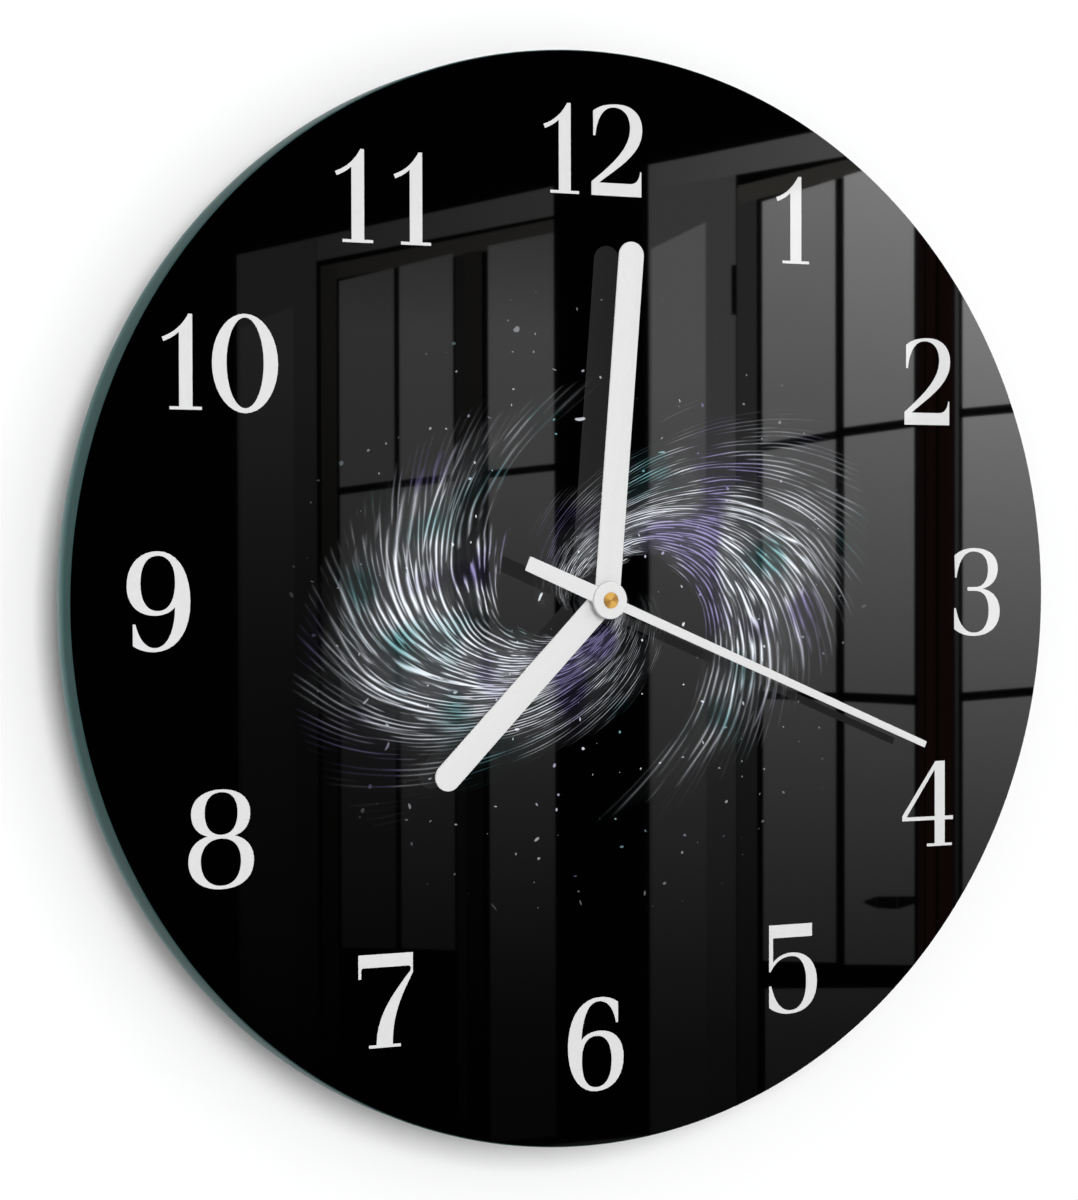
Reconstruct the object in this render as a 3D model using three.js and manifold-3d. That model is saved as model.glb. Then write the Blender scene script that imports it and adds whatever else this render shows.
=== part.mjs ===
// Round frameless glass wall clock with a quartz movement, in millimetres.
//
// The parts are drawn in the dial's frame: x to the right, y up to the twelve, z out of the dial.
// z is 0 on the wall and x and y are 0 on the axis of the hands. The last lines turn that frame
// so that z is up and the dial faces -y.
import * as THREE from 'three';
import { mergeVertices } from 'three/addons/utils/BufferGeometryUtils.js';
import Module from 'manifold-3d';

const wasm = await Module();
wasm.setup();

// Fits
const seat = 0.05; // between faces that rest on or are pressed into each other
const running = 0.2; // radial play of what turns in a bore
const endShake = 0.4; // axial play of what turns
const overlap = 0.1; // how far the bodies of one moulding go into each other
const beyond = 1; // how far a cutting tool stands out of what it cuts

// Glass dial
const glassRadius = 150;
const glassThickness = 10;
const glassHoleRadius = 5;
const arris = 0.3; // ground bevel on both edges of the disc
const printThickness = 0.2;

// Hands, measured from the axis
const handThickness = 0.5;
const hourLength = 70;
const hourWidth = 7.5;
const minuteLength = 98;
const minuteWidth = 7.6;
const secondLength = 111.5;
const secondTipWidth = 1.9;
const secondRootWidth = 2.7;
const secondThickness = 0.3;
const tailLength = 26.8;
const tailWidth = 4.1;
const tailRootWidth = 4.5;
const hubDiscRadius = 5.1;
const hubDiscThickness = 0.8;
const pinHeadRadius = 2.2;
const pinHeadThickness = 0.4;
const colletWall = 0.9;
const hourColletHeight = 1.2;
const minuteColletHeight = 0.9;
const hourAngle = 225.3; // clockwise from the twelve, in degrees
const minuteAngle = 4.7;
const secondAngle = 112.4;

// Centre stack through the glass
const bushRadius = 4;
const bushFlangeWidth = 0.8;
const bushFlangeThickness = 0.5;
const bushStandout = 0.6; // thread left in front of the nut
const gasketRadius = 14;
const gasketThickness = 1;
const washerRadius = 7;
const washerThickness = 0.6;
const nutAcrossFlats = 12;
const nutThickness = 2.2;

// Pipes and arbors on the hands' axis
const secondsArborRadius = 0.5;
const minutePipeRadius = 1.6;
const hourPipeRadius = 2.5;
const pinStemWall = 0.35;

// Battery: one AA cell lying across the foot of the case
const batteryRadius = 7.25;
const batteryCanLength = 49.2;
const batteryNubRadius = 2.75;
const batteryNubLength = 1.3;
const batteryCrimp = 0.7; // rounding of the can's ends
const bayPlay = 0.2;

// Case
const caseWall = 1.2;
const frontWall = 1;
const coverThickness = 1.2;
const caseCorner = 3;
const fingerNotchWidth = 14;
const fingerNotchDepth = 5;
const contactThickness = 0.3;
const contactSpring = 1.15; // how far a contact bows in to the cell
const contactWidth = 9;
const contactFlat = 0.2; // share of a contact that its bow leaves flat, and
const contactBase = 0.7; // share that the bow takes in all
const stripWidth = 2.4; // the contacts' tails over the circuit board
const tailOffset = 1; // from the bay's divider to a tail's foot
const tailOverlap = 0.5; // of a tail and its leaf
const footReach = 2.5; // of a tail's foot over the board
const notchDepth = 0.8; // of the divider's notch for a tail
const fingerNotchCorner = 2;

// Gear train: teeth and modules
const rotorPinionTeeth = 8;
const intermediateWheelTeeth = 48;
const rotorModule = 0.24;
const intermediatePinionTeeth = 12;
const secondsWheelTeeth = 60;
const secondsModule = 0.22;
const secondsPinionTeeth = 8;
const thirdWheelTeeth = 64;
const thirdModule = 0.22;
const thirdPinionTeeth = 8;
const centreWheelTeeth = 60;
const cannonPinionTeeth = 12;
const motionWheelTeeth = 36;
const motionModule = 0.25;
const motionPinionTeeth = 10;
const hourWheelTeeth = 40;
const knobPinionTeeth = 12;

// Where the arbors stand, seen from the front, in degrees from +x
const thirdDirection = 90;
const intermediateDirection = 150;
const rotorDirection = 150;
const motionDirection = 0;
const knobDirection = 20;

// Levels of the train, front to back gaps
const wheelThickness = 0.8;
const pinionOverhang = 0.2; // a pinion is this much longer than its wheel at each end
const levelGap = 0.7;
const plateThickness = 1;
const plateGap = 0.6;
const arborRadius = 0.6;
const pivotRadius = 0.4;
const secondsHubRadius = 1.2;
const motionPostRadius = 0.45;
const knobPivotRadius = 0.7;
const pivotPlay = 0.15;
const pivotDepth = 0.7;
const bossWall = 0.7;
const centreHubWall = 0.5;

// Stepper motor
const statorThickness = 1.2;
const statorStandoff = 1.5;
const magnetRadius = 2.4;
const magnetHeight = 1.5;
const statorGap = 0.5; // air gap around the magnet
const statorRim = 1.4; // iron outside the rotor's hole
const statorBridge = 1.2; // iron between the rotor's hole and the window
const statorCorner = 1.5;
const statorWindowCorner = 0.8;
const statorNotch = 0.9; // half the width of the notches at the rotor's hole
const statorArm = 3; // width of the stator's legs
const coilOffset = 8.8; // from the rotor to the coil's axis
const coilLength = 14;
const coilRadius = 2.9;
const bobbinFlange = 0.6;
const bobbinWall = 0.45;
const flangeRise = 0.1; // of the bobbin's flanges over the winding
const coreWidth = 2.4;
const coreThickness = 1.2;
const coreOverlap = 3.4; // how far the core's ends lie over the stator's legs

// Circuit board
const boardThickness = 0.8;
const boardMargin = 1.6; // from the case's inner walls
const boardStripWidth = 4.9;
const boardTopMargin = 6.4; // from the case's inner wall to the board's upper end
const boardKnobGap = 2; // between the knob's shaft and the board
const boardPostInset = 6; // of the left post from the board's end
const boardPostMargin = 2.5; // of the other posts from the board's edges
const boardPostRadius = 1.2;
const boardPinRadius = 0.6;
const chipRadius = 2.6;
const chipHeight = 1;
const crystalRadius = 1;
const crystalLength = 6;
const crystalMargin = 1; // from the board's edges

// Middle plate
const plateMargin = 1; // from the case's inner walls
const plateFootGap = 0.4; // between the plate and the bay's divider
const plateBoardGap = 0.6;
const plateCorner = 2;
const platePostRadius = 2;
const platePinRadius = 0.9;
const platePostMargin = 1.3; // of a post's side from the case's inner walls
const platePostFootMargin = 0.7; // of a post's side from the bay's divider
const pinStandout = 0.3; // of a pin over the plate or board it holds

// Setting knob
const knobRadius = 4.6;
const knobHeight = 2;
const knobInset = 0.35; // from the wall to the knob's head
const knobFlutes = 18;
const fluteDepth = 0.35;
const knobShaftRadius = 1.2;
const recessPlay = 0.6;
const recessWall = 0.8;
const recessFloorThickness = 1;
const knobSlotWidth = 1.2;
const knobSlotDepth = 0.8;

// Snap arms of the rear cover
const snapWidth = 5.6;
const snapHeight = 2.8;
const snapThickness = 0.8;
const snapBarb = 0.7;
const snapBarbFoot = 1.2; // from an arm's end down to the barb's foot
const snapBarbTip = 1; // from an arm's end down to the barb's tip
const snapPlay = 0.25;
const snapArmPlay = 0.15; // between an arm and the case's inner wall
const snapRow = 2; // height of the lower pair over the axis
const snapSpread = 0.68; // distance of the pairs as a share of half the case

// Hanger: a steel strip, bent twice
const hangerThickness = 1;
const hangerWidth = 20;
const hangerGap = 0.4; // between the strip and the case's top
const hangerBend = 1.4; // outer radius of its bends
const keyholeRadius = 4.5;
const slotRadius = 2.25;
const slotRise = 5.5; // from the round hole's centre to the slot's upper end
const keyholeMargin = 2.5; // from the bend to the round hole
const hangerTopMargin = 5.5; // from the slot's centre to the strip's end, less its round

// Facets
const rimSegments = 96;
const ringSegments = 30;
const boreSegments = 14;
const cornerSegments = 4;
const pivotSegments = 10;

const degree = Math.PI / 180;

// Solids and outlines

/** A closed geometry as a solid that can be joined and cut. */
function toSolid(geometry) {
  const plain = geometry.clone();
  plain.deleteAttribute('normal');
  plain.deleteAttribute('uv');
  const merged = mergeVertices(plain);
  const corners = merged.index.array;
  const kept = [];
  for (let i = 0; i < corners.length; i += 3) {
    const [a, b, c] = [corners[i], corners[i + 1], corners[i + 2]];
    if (a !== b && b !== c && c !== a) kept.push(a, b, c);
  }
  return new wasm.Manifold(new wasm.Mesh({
    numProp: 3,
    vertProperties: new Float32Array(merged.attributes.position.array),
    triVerts: new Uint32Array(kept),
  }));
}

/** The geometry of a solid, with flat facets. */
function toGeometry(solid) {
  const mesh = solid.getMesh();
  const indexed = new THREE.BufferGeometry();
  indexed.setAttribute('position', new THREE.BufferAttribute(mesh.vertProperties, 3));
  indexed.setIndex(new THREE.BufferAttribute(mesh.triVerts, 1));
  const geometry = indexed.toNonIndexed();
  geometry.computeVertexNormals();
  return geometry;
}

/** The first geometry with the others joined to it. */
function join(...geometries) {
  return toGeometry(geometries.map(toSolid).reduce((sum, solid) => sum.add(solid)));
}

/** The first geometry with the others cut out of it. */
function cut(first, ...tools) {
  return toGeometry(tools.map(toSolid).reduce((rest, tool) => rest.subtract(tool), toSolid(first)));
}

/** What two geometries share. */
function common(a, b) {
  return toGeometry(toSolid(a).intersect(toSolid(b)));
}

/** A body turned about z from a closed profile of [radius, z] points, listed with z rising outside. */
function turned(profile, segments) {
  const points = profile.map(([radius, z]) => new THREE.Vector2(radius, z));
  return new THREE.LatheGeometry(points, segments).rotateX(Math.PI / 2);
}

/** A solid cylinder about z. */
function rod(radius, z0, z1, segments = boreSegments) {
  return turned([[0, z0], [radius, z0], [radius, z1], [0, z1]], segments);
}

/** A cylinder about z with a bore. */
function ring(outer, inner, z0, z1, segments = boreSegments) {
  return turned([[inner, z0], [outer, z0], [outer, z1], [inner, z1], [inner, z0]], segments);
}

/** A flat outline given a thickness from z0 to z1. */
function plate(shape, z0, z1, curveSegments = cornerSegments) {
  const depth = z1 - z0;
  return new THREE.ExtrudeGeometry(shape, { depth, bevelEnabled: false, curveSegments })
    .translate(0, 0, z0);
}

/** A box between two corners. */
function block(x0, x1, y0, y1, z0, z1) {
  return new THREE.BoxGeometry(x1 - x0, y1 - y0, z1 - z0)
    .translate((x0 + x1) / 2, (y0 + y1) / 2, (z0 + z1) / 2);
}

/** A rectangle with one radius on its upper and one on its lower corners. */
function roundedRectangle(x0, x1, y0, y1, upper, lower) {
  const shape = new THREE.Shape();
  shape.moveTo(x0 + lower, y0);
  shape.lineTo(x1 - lower, y0);
  if (lower > 0) shape.absarc(x1 - lower, y0 + lower, lower, -Math.PI / 2, 0, false);
  shape.lineTo(x1, y1 - upper);
  if (upper > 0) shape.absarc(x1 - upper, y1 - upper, upper, 0, Math.PI / 2, false);
  shape.lineTo(x0 + upper, y1);
  if (upper > 0) shape.absarc(x0 + upper, y1 - upper, upper, Math.PI / 2, Math.PI, false);
  shape.lineTo(x0, y0 + lower);
  if (lower > 0) shape.absarc(x0 + lower, y0 + lower, lower, Math.PI, Math.PI * 1.5, false);
  return shape;
}

/** A strip with round ends, standing on y from y0 to y1, both counted to the ends. */
function stadium(halfWidth, y0, y1) {
  const shape = new THREE.Shape();
  shape.absarc(0, y1 - halfWidth, halfWidth, 0, Math.PI, false);
  shape.absarc(0, y0 + halfWidth, halfWidth, Math.PI, Math.PI * 2, false);
  return shape;
}

/** A geometry of single triangles mirrored in x, with its faces still outward. */
function mirroredX(geometry) {
  const copy = geometry.clone().scale(-1, 1, 1);
  const position = copy.attributes.position;
  const corner = new THREE.Vector3();
  for (let i = 0; i < position.count; i += 3) {
    corner.fromBufferAttribute(position, i + 1);
    position.copyAt(i + 1, position, i + 2);
    position.setXYZ(i + 2, corner.x, corner.y, corner.z);
  }
  copy.computeVertexNormals();
  return copy;
}

// Turns an outline drawn in y and z so that it is extruded along x
const sideways = new THREE.Matrix4().makeBasis(
  new THREE.Vector3(0, 1, 0), new THREE.Vector3(0, 0, 1), new THREE.Vector3(1, 0, 0));

/** Moves a geometry sideways to a point. */
function at(point, geometry) {
  return geometry.translate(point.x, point.y, 0);
}

// Gears

// Tooth forms: heights in modules, tooth widths as shares of the pitch
const wheelForm = { addendum: 0.9, dedendum: 1.5, tipShare: 0.2 };
const pinionForm = { addendum: 0.8, dedendum: 1.35, rootShare: 0.38, tipShare: 0.13 };

/** The point at one radius and angle. */
function polar(radius, angle) {
  return new THREE.Vector2(radius * Math.cos(angle), radius * Math.sin(angle));
}

/** The tip radius of a gear. */
function tipRadius(teeth, module, form) {
  return module * (teeth / 2 + form.addendum);
}

/**
 * Outline of a spur gear whose first tooth points along `phase`. A wheel's teeth meet in narrow
 * gaps, a pinion's leaves stand apart.
 */
function gearShape(teeth, module, phase, form) {
  const pitch = 2 * Math.PI / teeth;
  const pitchRadius = module * teeth / 2;
  const root = pitchRadius - form.dedendum * module;
  const tip = [tipRadius(teeth, module, form), form.tipShare];
  const flank = form === pinionForm ? [[root, form.rootShare], tip] : [tip];
  const points = [];
  for (let tooth = 0; tooth < teeth; tooth += 1) {
    const centre = phase + tooth * pitch;
    if (form === wheelForm) points.push(polar(root, centre - pitch / 2));
    for (const [radius, share] of flank) points.push(polar(radius, centre - share * pitch / 2));
    for (const [radius, share] of flank.toReversed()) {
      points.push(polar(radius, centre + share * pitch / 2));
    }
  }
  return new THREE.Shape(points);
}

/** A toothed disc from z0 to z1. */
function gear(teeth, module, phase, form, z0, z1) {
  return plate(gearShape(teeth, module, phase, form), z0, z1);
}

/** The phase of a gear that meshes with another, which lies the other way along `direction`. */
function meshPhase(teeth, phase, direction, nextTeeth) {
  return direction + Math.PI + (teeth * (direction - phase) - Math.PI) / nextTeeth;
}

/** The distance between the arbors of a pair. */
function centreDistance(teeth, nextTeeth, module) {
  return module * (teeth + nextTeeth) / 2;
}

/** A point at a distance and direction in degrees from another. */
function stepFrom(point, distance, direction) {
  return polar(distance, direction * degree).add(point);
}

// Where the arbors stand
const axis = new THREE.Vector2(0, 0);
const thirdDistance = centreDistance(secondsPinionTeeth, thirdWheelTeeth, thirdModule);
const motionDistance = centreDistance(cannonPinionTeeth, motionWheelTeeth, motionModule);
const intermediateDistance = centreDistance(intermediatePinionTeeth, secondsWheelTeeth, secondsModule);
const rotorDistance = centreDistance(rotorPinionTeeth, intermediateWheelTeeth, rotorModule);
const knobDistance = centreDistance(motionWheelTeeth, knobPinionTeeth, motionModule);
const thirdPoint = stepFrom(axis, thirdDistance, thirdDirection);
const intermediatePoint = stepFrom(axis, intermediateDistance, intermediateDirection);
const rotorPoint = stepFrom(intermediatePoint, rotorDistance, rotorDirection);
const motionPoint = stepFrom(axis, motionDistance, motionDirection);
const knobPoint = stepFrom(motionPoint, knobDistance, knobDirection);

// The modules that close the two loops back to the hands' axis
const centreModule = 2 * thirdDistance / (thirdPinionTeeth + centreWheelTeeth);
const hourModule = 2 * motionDistance / (motionPinionTeeth + hourWheelTeeth);

// Levels, from the wall forward
const statorLevel = coverThickness + statorStandoff;
const coreLevel = statorLevel + statorThickness + seat;
const magnetLevel = statorLevel + (statorThickness - magnetHeight) / 2;
const intermediateLevel = magnetLevel + magnetHeight + levelGap;
const secondsLevel = intermediateLevel + wheelThickness + levelGap;
const middlePlateLevel = secondsLevel + wheelThickness + plateGap;
const thirdLevel = middlePlateLevel + plateThickness + plateGap;
const centreLevel = thirdLevel + wheelThickness + levelGap;
const motionLevel = centreLevel + wheelThickness + levelGap;
const hourLevel = motionLevel + wheelThickness + levelGap;
const trainTop = hourLevel + wheelThickness + endShake;
const batteryTop = 2 * (batteryRadius + bayPlay);
const frontWallLevel = Math.max(trainTop, batteryTop);
const caseDepth = frontWallLevel + frontWall;
const hangerLevel = caseDepth + seat;
const gasketLevel = hangerLevel + hangerThickness + seat;
const glassLevel = gasketLevel + gasketThickness + seat;
const printLevel = glassLevel + glassThickness + seat;
const washerLevel = printLevel + printThickness + seat;
const nutLevel = washerLevel + washerThickness + seat;
const bushTop = nutLevel + nutThickness + bushStandout;
const hourHandLevel = bushTop + endShake;
const hourPipeTop = hourHandLevel + hourColletHeight + handThickness;
const minuteHandLevel = hourPipeTop + endShake;
const minutePipeTop = minuteHandLevel + minuteColletHeight + handThickness;
const pinLevel = minutePipeTop + endShake;
const secondHandLevel = pinLevel + endShake;
const hubDiscTop = secondThickness + hubDiscThickness;
const secondsArborTop = secondHandLevel + hubDiscTop - seat;

// Bores, from what runs or is pressed in them
const minuteBore = secondsArborRadius + running;
const hourBore = minutePipeRadius + running;
const bushBore = hourPipeRadius + running;
const pinStemRadius = secondsArborRadius + seat + pinStemWall;
const bushFlangeRadius = bushRadius + bushFlangeWidth;

// Plan of the case
const contactSpace = 2 * seat + contactThickness + contactSpring;
const batteryLength = batteryCanLength + batteryNubLength;
const caseInner = batteryLength / 2 + contactSpace;
const caseOuter = caseInner + caseWall;
const bayY = -caseInner + batteryRadius + bayPlay;
const dividerY0 = bayY + batteryRadius + bayPlay;
const dividerY1 = dividerY0 + caseWall;
const batteryLevel = frontWallLevel - bayPlay - batteryRadius;
const coilX = rotorPoint.x - coilOffset;
const coilY = rotorPoint.y;
const coilCentreLevel = coreLevel + coreThickness / 2;
const coreEnd = coilLength / 2 + coreOverlap;
const boardLevel = coreLevel + coreThickness + seat;
const boardEdge = caseInner - boardMargin;
const boardY0 = dividerY1 + seat;
const boardY1 = boardY0 + boardStripWidth;
const boardTopY = caseInner - boardTopMargin;
const boardWingX = knobPoint.x + knobShaftRadius + boardKnobGap;
const boardTop = boardLevel + boardThickness;
const stripLevel = boardTop + seat;
const contactX = caseInner - seat;
const plateRight = boardWingX - plateBoardGap;
const platePostLeft = -caseInner + platePostRadius + platePostMargin;
const platePostRight = plateRight - platePostRadius;
const platePostLow = dividerY1 + platePostRadius + platePostFootMargin;
const platePostHigh = caseInner - platePostRadius - platePostMargin;
const platePosts = [
  new THREE.Vector2(platePostLeft, platePostLow),
  new THREE.Vector2(platePostLeft, platePostHigh),
  new THREE.Vector2(platePostRight, platePostLow),
  new THREE.Vector2(platePostRight, platePostHigh),
];
const boardPosts = [
  new THREE.Vector2(-boardEdge + boardPostInset, (boardY0 + boardY1) / 2),
  new THREE.Vector2(boardWingX + boardPostMargin, (boardY0 + boardY1) / 2),
  new THREE.Vector2(boardEdge - boardPostMargin, boardTopY - boardPostMargin),
];
const statorX0 = coilX - coreWidth / 2;
const statorX1 = rotorPoint.x + magnetRadius + statorGap + statorRim;
const statorPosts = [
  new THREE.Vector2(rotorPoint.x, coilY - coreEnd + statorArm / 2),
  new THREE.Vector2(rotorPoint.x, coilY + coreEnd - statorArm / 2),
];
const recessRadius = knobRadius + recessPlay;
const recessFloor = knobInset + knobHeight + endShake;
const snapRows = [snapRow, snapRow + snapSpread * caseInner];

// Glass, print and the stack that clamps them

/** Float-glass disc with a hole and an arris on both edges. */
function glassDial() {
  return turned([
    [glassHoleRadius, 0],
    [glassRadius - arris, 0],
    [glassRadius, arris],
    [glassRadius, glassThickness - arris],
    [glassRadius - arris, glassThickness],
    [glassHoleRadius, glassThickness],
    [glassHoleRadius, 0],
  ], rimSegments);
}

/** The printed face, which ends where the front arris starts. */
function dialPrint() {
  return ring(glassRadius - arris, glassHoleRadius, 0, printThickness, rimSegments);
}

/** Threaded brass bush with a flange that sits in the case's front wall. */
function threadedBush() {
  const chamfer = 0.4;
  const height = bushTop - frontWallLevel;
  return turned([
    [bushBore, 0],
    [bushFlangeRadius, 0],
    [bushFlangeRadius, bushFlangeThickness],
    [bushRadius, bushFlangeThickness],
    [bushRadius, height - chamfer],
    [bushRadius - chamfer, height],
    [bushBore, height],
    [bushBore, 0],
  ], ringSegments);
}

/** Hexagon nut with both faces chamfered to its flats. */
function handNut() {
  const cornerRadius = nutAcrossFlats / Math.sqrt(3);
  const chamfer = 0.5;
  const corners = [0, 1, 2, 3, 4, 5].map((i) => polar(cornerRadius, i * 60 * degree));
  const prism = plate(new THREE.Shape(corners), 0, nutThickness);
  const rounding = turned([
    [0, 0],
    [cornerRadius - chamfer, 0],
    [cornerRadius, chamfer],
    [cornerRadius, nutThickness - chamfer],
    [cornerRadius - chamfer, nutThickness],
    [0, nutThickness],
  ], ringSegments);
  return cut(common(prism, rounding), rod(bushRadius + seat, -beyond, nutThickness + beyond, ringSegments));
}

// Hands

/** Baton hand with round ends, on a collet that is pressed on its pipe. */
function batonHand(length, width, pipeRadius, colletHeight) {
  const bore = pipeRadius + seat;
  const top = colletHeight + handThickness;
  const blade = plate(stadium(width / 2, -width / 2, length), colletHeight, top, 16);
  const collet = rod(bore + colletWall, 0, top, ringSegments);
  return cut(join(blade, collet), rod(bore, -beyond, top + beyond, ringSegments));
}

/** Slender second hand with a square tail, under a round hub disc. */
function secondHand() {
  const outline = new THREE.Shape([
    new THREE.Vector2(-tailWidth / 2, -tailLength),
    new THREE.Vector2(tailWidth / 2, -tailLength),
    new THREE.Vector2(tailRootWidth / 2, 0),
    new THREE.Vector2(secondRootWidth / 2, 0),
    new THREE.Vector2(secondTipWidth / 2, secondLength),
    new THREE.Vector2(-secondTipWidth / 2, secondLength),
    new THREE.Vector2(-secondRootWidth / 2, 0),
    new THREE.Vector2(-tailRootWidth / 2, 0),
  ]);
  const edge = 0.15;
  const disc = turned([
    [0, 0],
    [hubDiscRadius, 0],
    [hubDiscRadius, hubDiscTop - edge],
    [hubDiscRadius - edge, hubDiscTop],
    [0, hubDiscTop],
  ], ringSegments);
  const bore = rod(pinStemRadius + seat, -beyond, hubDiscTop + beyond);
  return cut(join(plate(outline, 0, secondThickness), disc), bore);
}

/** Brass pin: a head over the hub disc and a stem whose blind bore takes the seconds arbor. */
function secondHandPin() {
  const headBase = secondHandLevel - pinLevel + hubDiscTop + seat;
  const bore = secondsArborRadius + seat;
  const edge = 0.1;
  return turned([
    [bore, 0],
    [pinStemRadius, 0],
    [pinStemRadius, headBase],
    [pinHeadRadius, headBase],
    [pinHeadRadius, headBase + pinHeadThickness - edge],
    [pinHeadRadius - edge, headBase + pinHeadThickness],
    [0, headBase + pinHeadThickness],
    [0, headBase],
    [bore, headBase],
    [bore, 0],
  ], ringSegments);
}

// Going train

/** A wheel with a pinion above it on one arbor. The wheel's lower face is at z = 0. */
function wheelWithPinion(wheel, pinion, pinionBase, arborFoot, arborTop) {
  const pinionTop = pinionBase + wheelThickness + 2 * pinionOverhang;
  return join(
    gear(wheel.teeth, wheel.module, wheel.phase, wheelForm, 0, wheelThickness),
    gear(pinion.teeth, pinion.module, pinion.phase, pinionForm, pinionBase, pinionTop),
    rod(arborRadius, arborFoot, arborTop, pivotSegments),
    rod(pivotRadius, arborFoot - pivotDepth, arborTop + pivotDepth, pivotSegments),
  );
}

const intermediatePinionPhase = meshPhase(
  secondsWheelTeeth, 0, intermediateDirection * degree, intermediatePinionTeeth);
const rotorPinionPhase = meshPhase(
  intermediateWheelTeeth, 0, rotorDirection * degree, rotorPinionTeeth);
const thirdWheelPhase = meshPhase(
  secondsPinionTeeth, 0, thirdDirection * degree, thirdWheelTeeth);
const centreWheelPhase = meshPhase(
  thirdPinionTeeth, 0, (thirdDirection + 180) * degree, centreWheelTeeth);
const motionWheelPhase = meshPhase(
  cannonPinionTeeth, 0, motionDirection * degree, motionWheelTeeth);
const hourWheelPhase = meshPhase(
  motionPinionTeeth, 0, (motionDirection + 180) * degree, hourWheelTeeth);
const knobPinionPhase = meshPhase(
  motionWheelTeeth, motionWheelPhase, knobDirection * degree, knobPinionTeeth);

/** Rotor pinion on its arbor, which also carries the magnet. */
function rotorPinion() {
  const top = wheelThickness + pinionOverhang;
  const arborFoot = magnetLevel - intermediateLevel - endShake / 2;
  const arborTop = middlePlateLevel - intermediateLevel - endShake / 2;
  return join(
    gear(rotorPinionTeeth, rotorModule, rotorPinionPhase, pinionForm, -pinionOverhang, top),
    rod(arborRadius, arborFoot, arborTop, pivotSegments),
    rod(pivotRadius, arborFoot - pivotDepth, arborTop + pivotDepth, pivotSegments),
  );
}

/** Ring magnet of the rotor. */
function rotorMagnet() {
  return ring(magnetRadius, arborRadius + seat, 0, magnetHeight);
}

/** Wheel that the rotor drives, with the pinion that drives the seconds wheel. */
function intermediateWheel() {
  return wheelWithPinion(
    { teeth: intermediateWheelTeeth, module: rotorModule, phase: 0 },
    { teeth: intermediatePinionTeeth, module: secondsModule, phase: intermediatePinionPhase },
    secondsLevel - intermediateLevel - pinionOverhang,
    -pinionOverhang,
    middlePlateLevel - intermediateLevel - endShake / 2,
  );
}

/** Wheel, pinion and long arbor that turn once a minute. */
function secondsWheel() {
  const pinionBase = thirdLevel - secondsLevel - pinionOverhang;
  const pinionTop = pinionBase + wheelThickness + 2 * pinionOverhang;
  return join(
    gear(secondsWheelTeeth, secondsModule, 0, wheelForm, 0, wheelThickness),
    rod(secondsHubRadius, wheelThickness - overlap, middlePlateLevel - secondsLevel - endShake / 2),
    gear(secondsPinionTeeth, thirdModule, 0, pinionForm, pinionBase, pinionTop),
    rod(secondsArborRadius, statorLevel - secondsLevel, secondsArborTop - secondsLevel, pivotSegments),
  );
}

/** Wheel between the seconds pinion and the centre wheel. */
function thirdWheel() {
  return wheelWithPinion(
    { teeth: thirdWheelTeeth, module: thirdModule, phase: thirdWheelPhase },
    { teeth: thirdPinionTeeth, module: centreModule, phase: 0 },
    centreLevel - thirdLevel - pinionOverhang,
    middlePlateLevel + plateThickness + endShake / 2 - thirdLevel,
    motionLevel - thirdLevel,
  );
}

/** Wheel that turns once an hour. Its hub presses on the foot of the cannon pinion. */
function centreWheel() {
  const hub = minuteBore + centreHubWall;
  return cut(
    join(
      gear(centreWheelTeeth, centreModule, centreWheelPhase, wheelForm, 0, wheelThickness),
      rod(hub, -pinionOverhang, motionLevel - centreLevel - seat),
    ),
    rod(minuteBore, -beyond, motionLevel - centreLevel + beyond),
  );
}

/** Pinion and long pipe that carry the minute hand. */
function cannonPinion() {
  const height = minutePipeTop - motionLevel;
  return cut(
    join(
      gear(cannonPinionTeeth, motionModule, 0, pinionForm, 0, wheelThickness),
      rod(minutePipeRadius, wheelThickness, height),
    ),
    rod(minuteBore, -beyond, height + beyond),
  );
}

/** Wheel and pinion that turn the hour wheel, on a post of the case. */
function motionWheel() {
  const pinionTop = wheelThickness + levelGap + wheelThickness;
  return cut(
    join(
      gear(motionWheelTeeth, motionModule, motionWheelPhase, wheelForm, 0, wheelThickness),
      gear(motionPinionTeeth, hourModule, 0, pinionForm, wheelThickness - overlap, pinionTop),
    ),
    rod(motionPostRadius + pivotPlay, -beyond, pinionTop + beyond, pivotSegments),
  );
}

/** Wheel and pipe that carry the hour hand. */
function hourWheel() {
  const height = hourPipeTop - hourLevel;
  return cut(
    join(
      gear(hourWheelTeeth, hourModule, hourWheelPhase, wheelForm, 0, wheelThickness),
      rod(hourPipeRadius, 0, height, ringSegments),
    ),
    rod(hourBore, -beyond, height + beyond),
  );
}

/** Fluted knob with its shaft and gear, in one moulding. */
function settingKnob() {
  const flutes = [];
  for (let i = 0; i < 2 * knobFlutes; i += 1) {
    const radius = knobRadius - (i % 2) * fluteDepth;
    flutes.push(polar(radius, i * Math.PI / knobFlutes));
  }
  const gearBase = motionLevel - knobInset;
  const gearTop = gearBase + wheelThickness;
  const slot = block(-knobRadius, knobRadius, -knobSlotWidth / 2, knobSlotWidth / 2, -beyond, knobSlotDepth);
  return join(
    cut(plate(new THREE.Shape(flutes), 0, knobHeight), slot),
    rod(knobShaftRadius, knobHeight - overlap, gearBase + overlap),
    gear(knobPinionTeeth, motionModule, knobPinionPhase, pinionForm, gearBase, gearTop),
    rod(knobPivotRadius, gearTop - overlap, frontWallLevel - knobInset - endShake, pivotSegments),
  );
}

// Stepper motor

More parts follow.
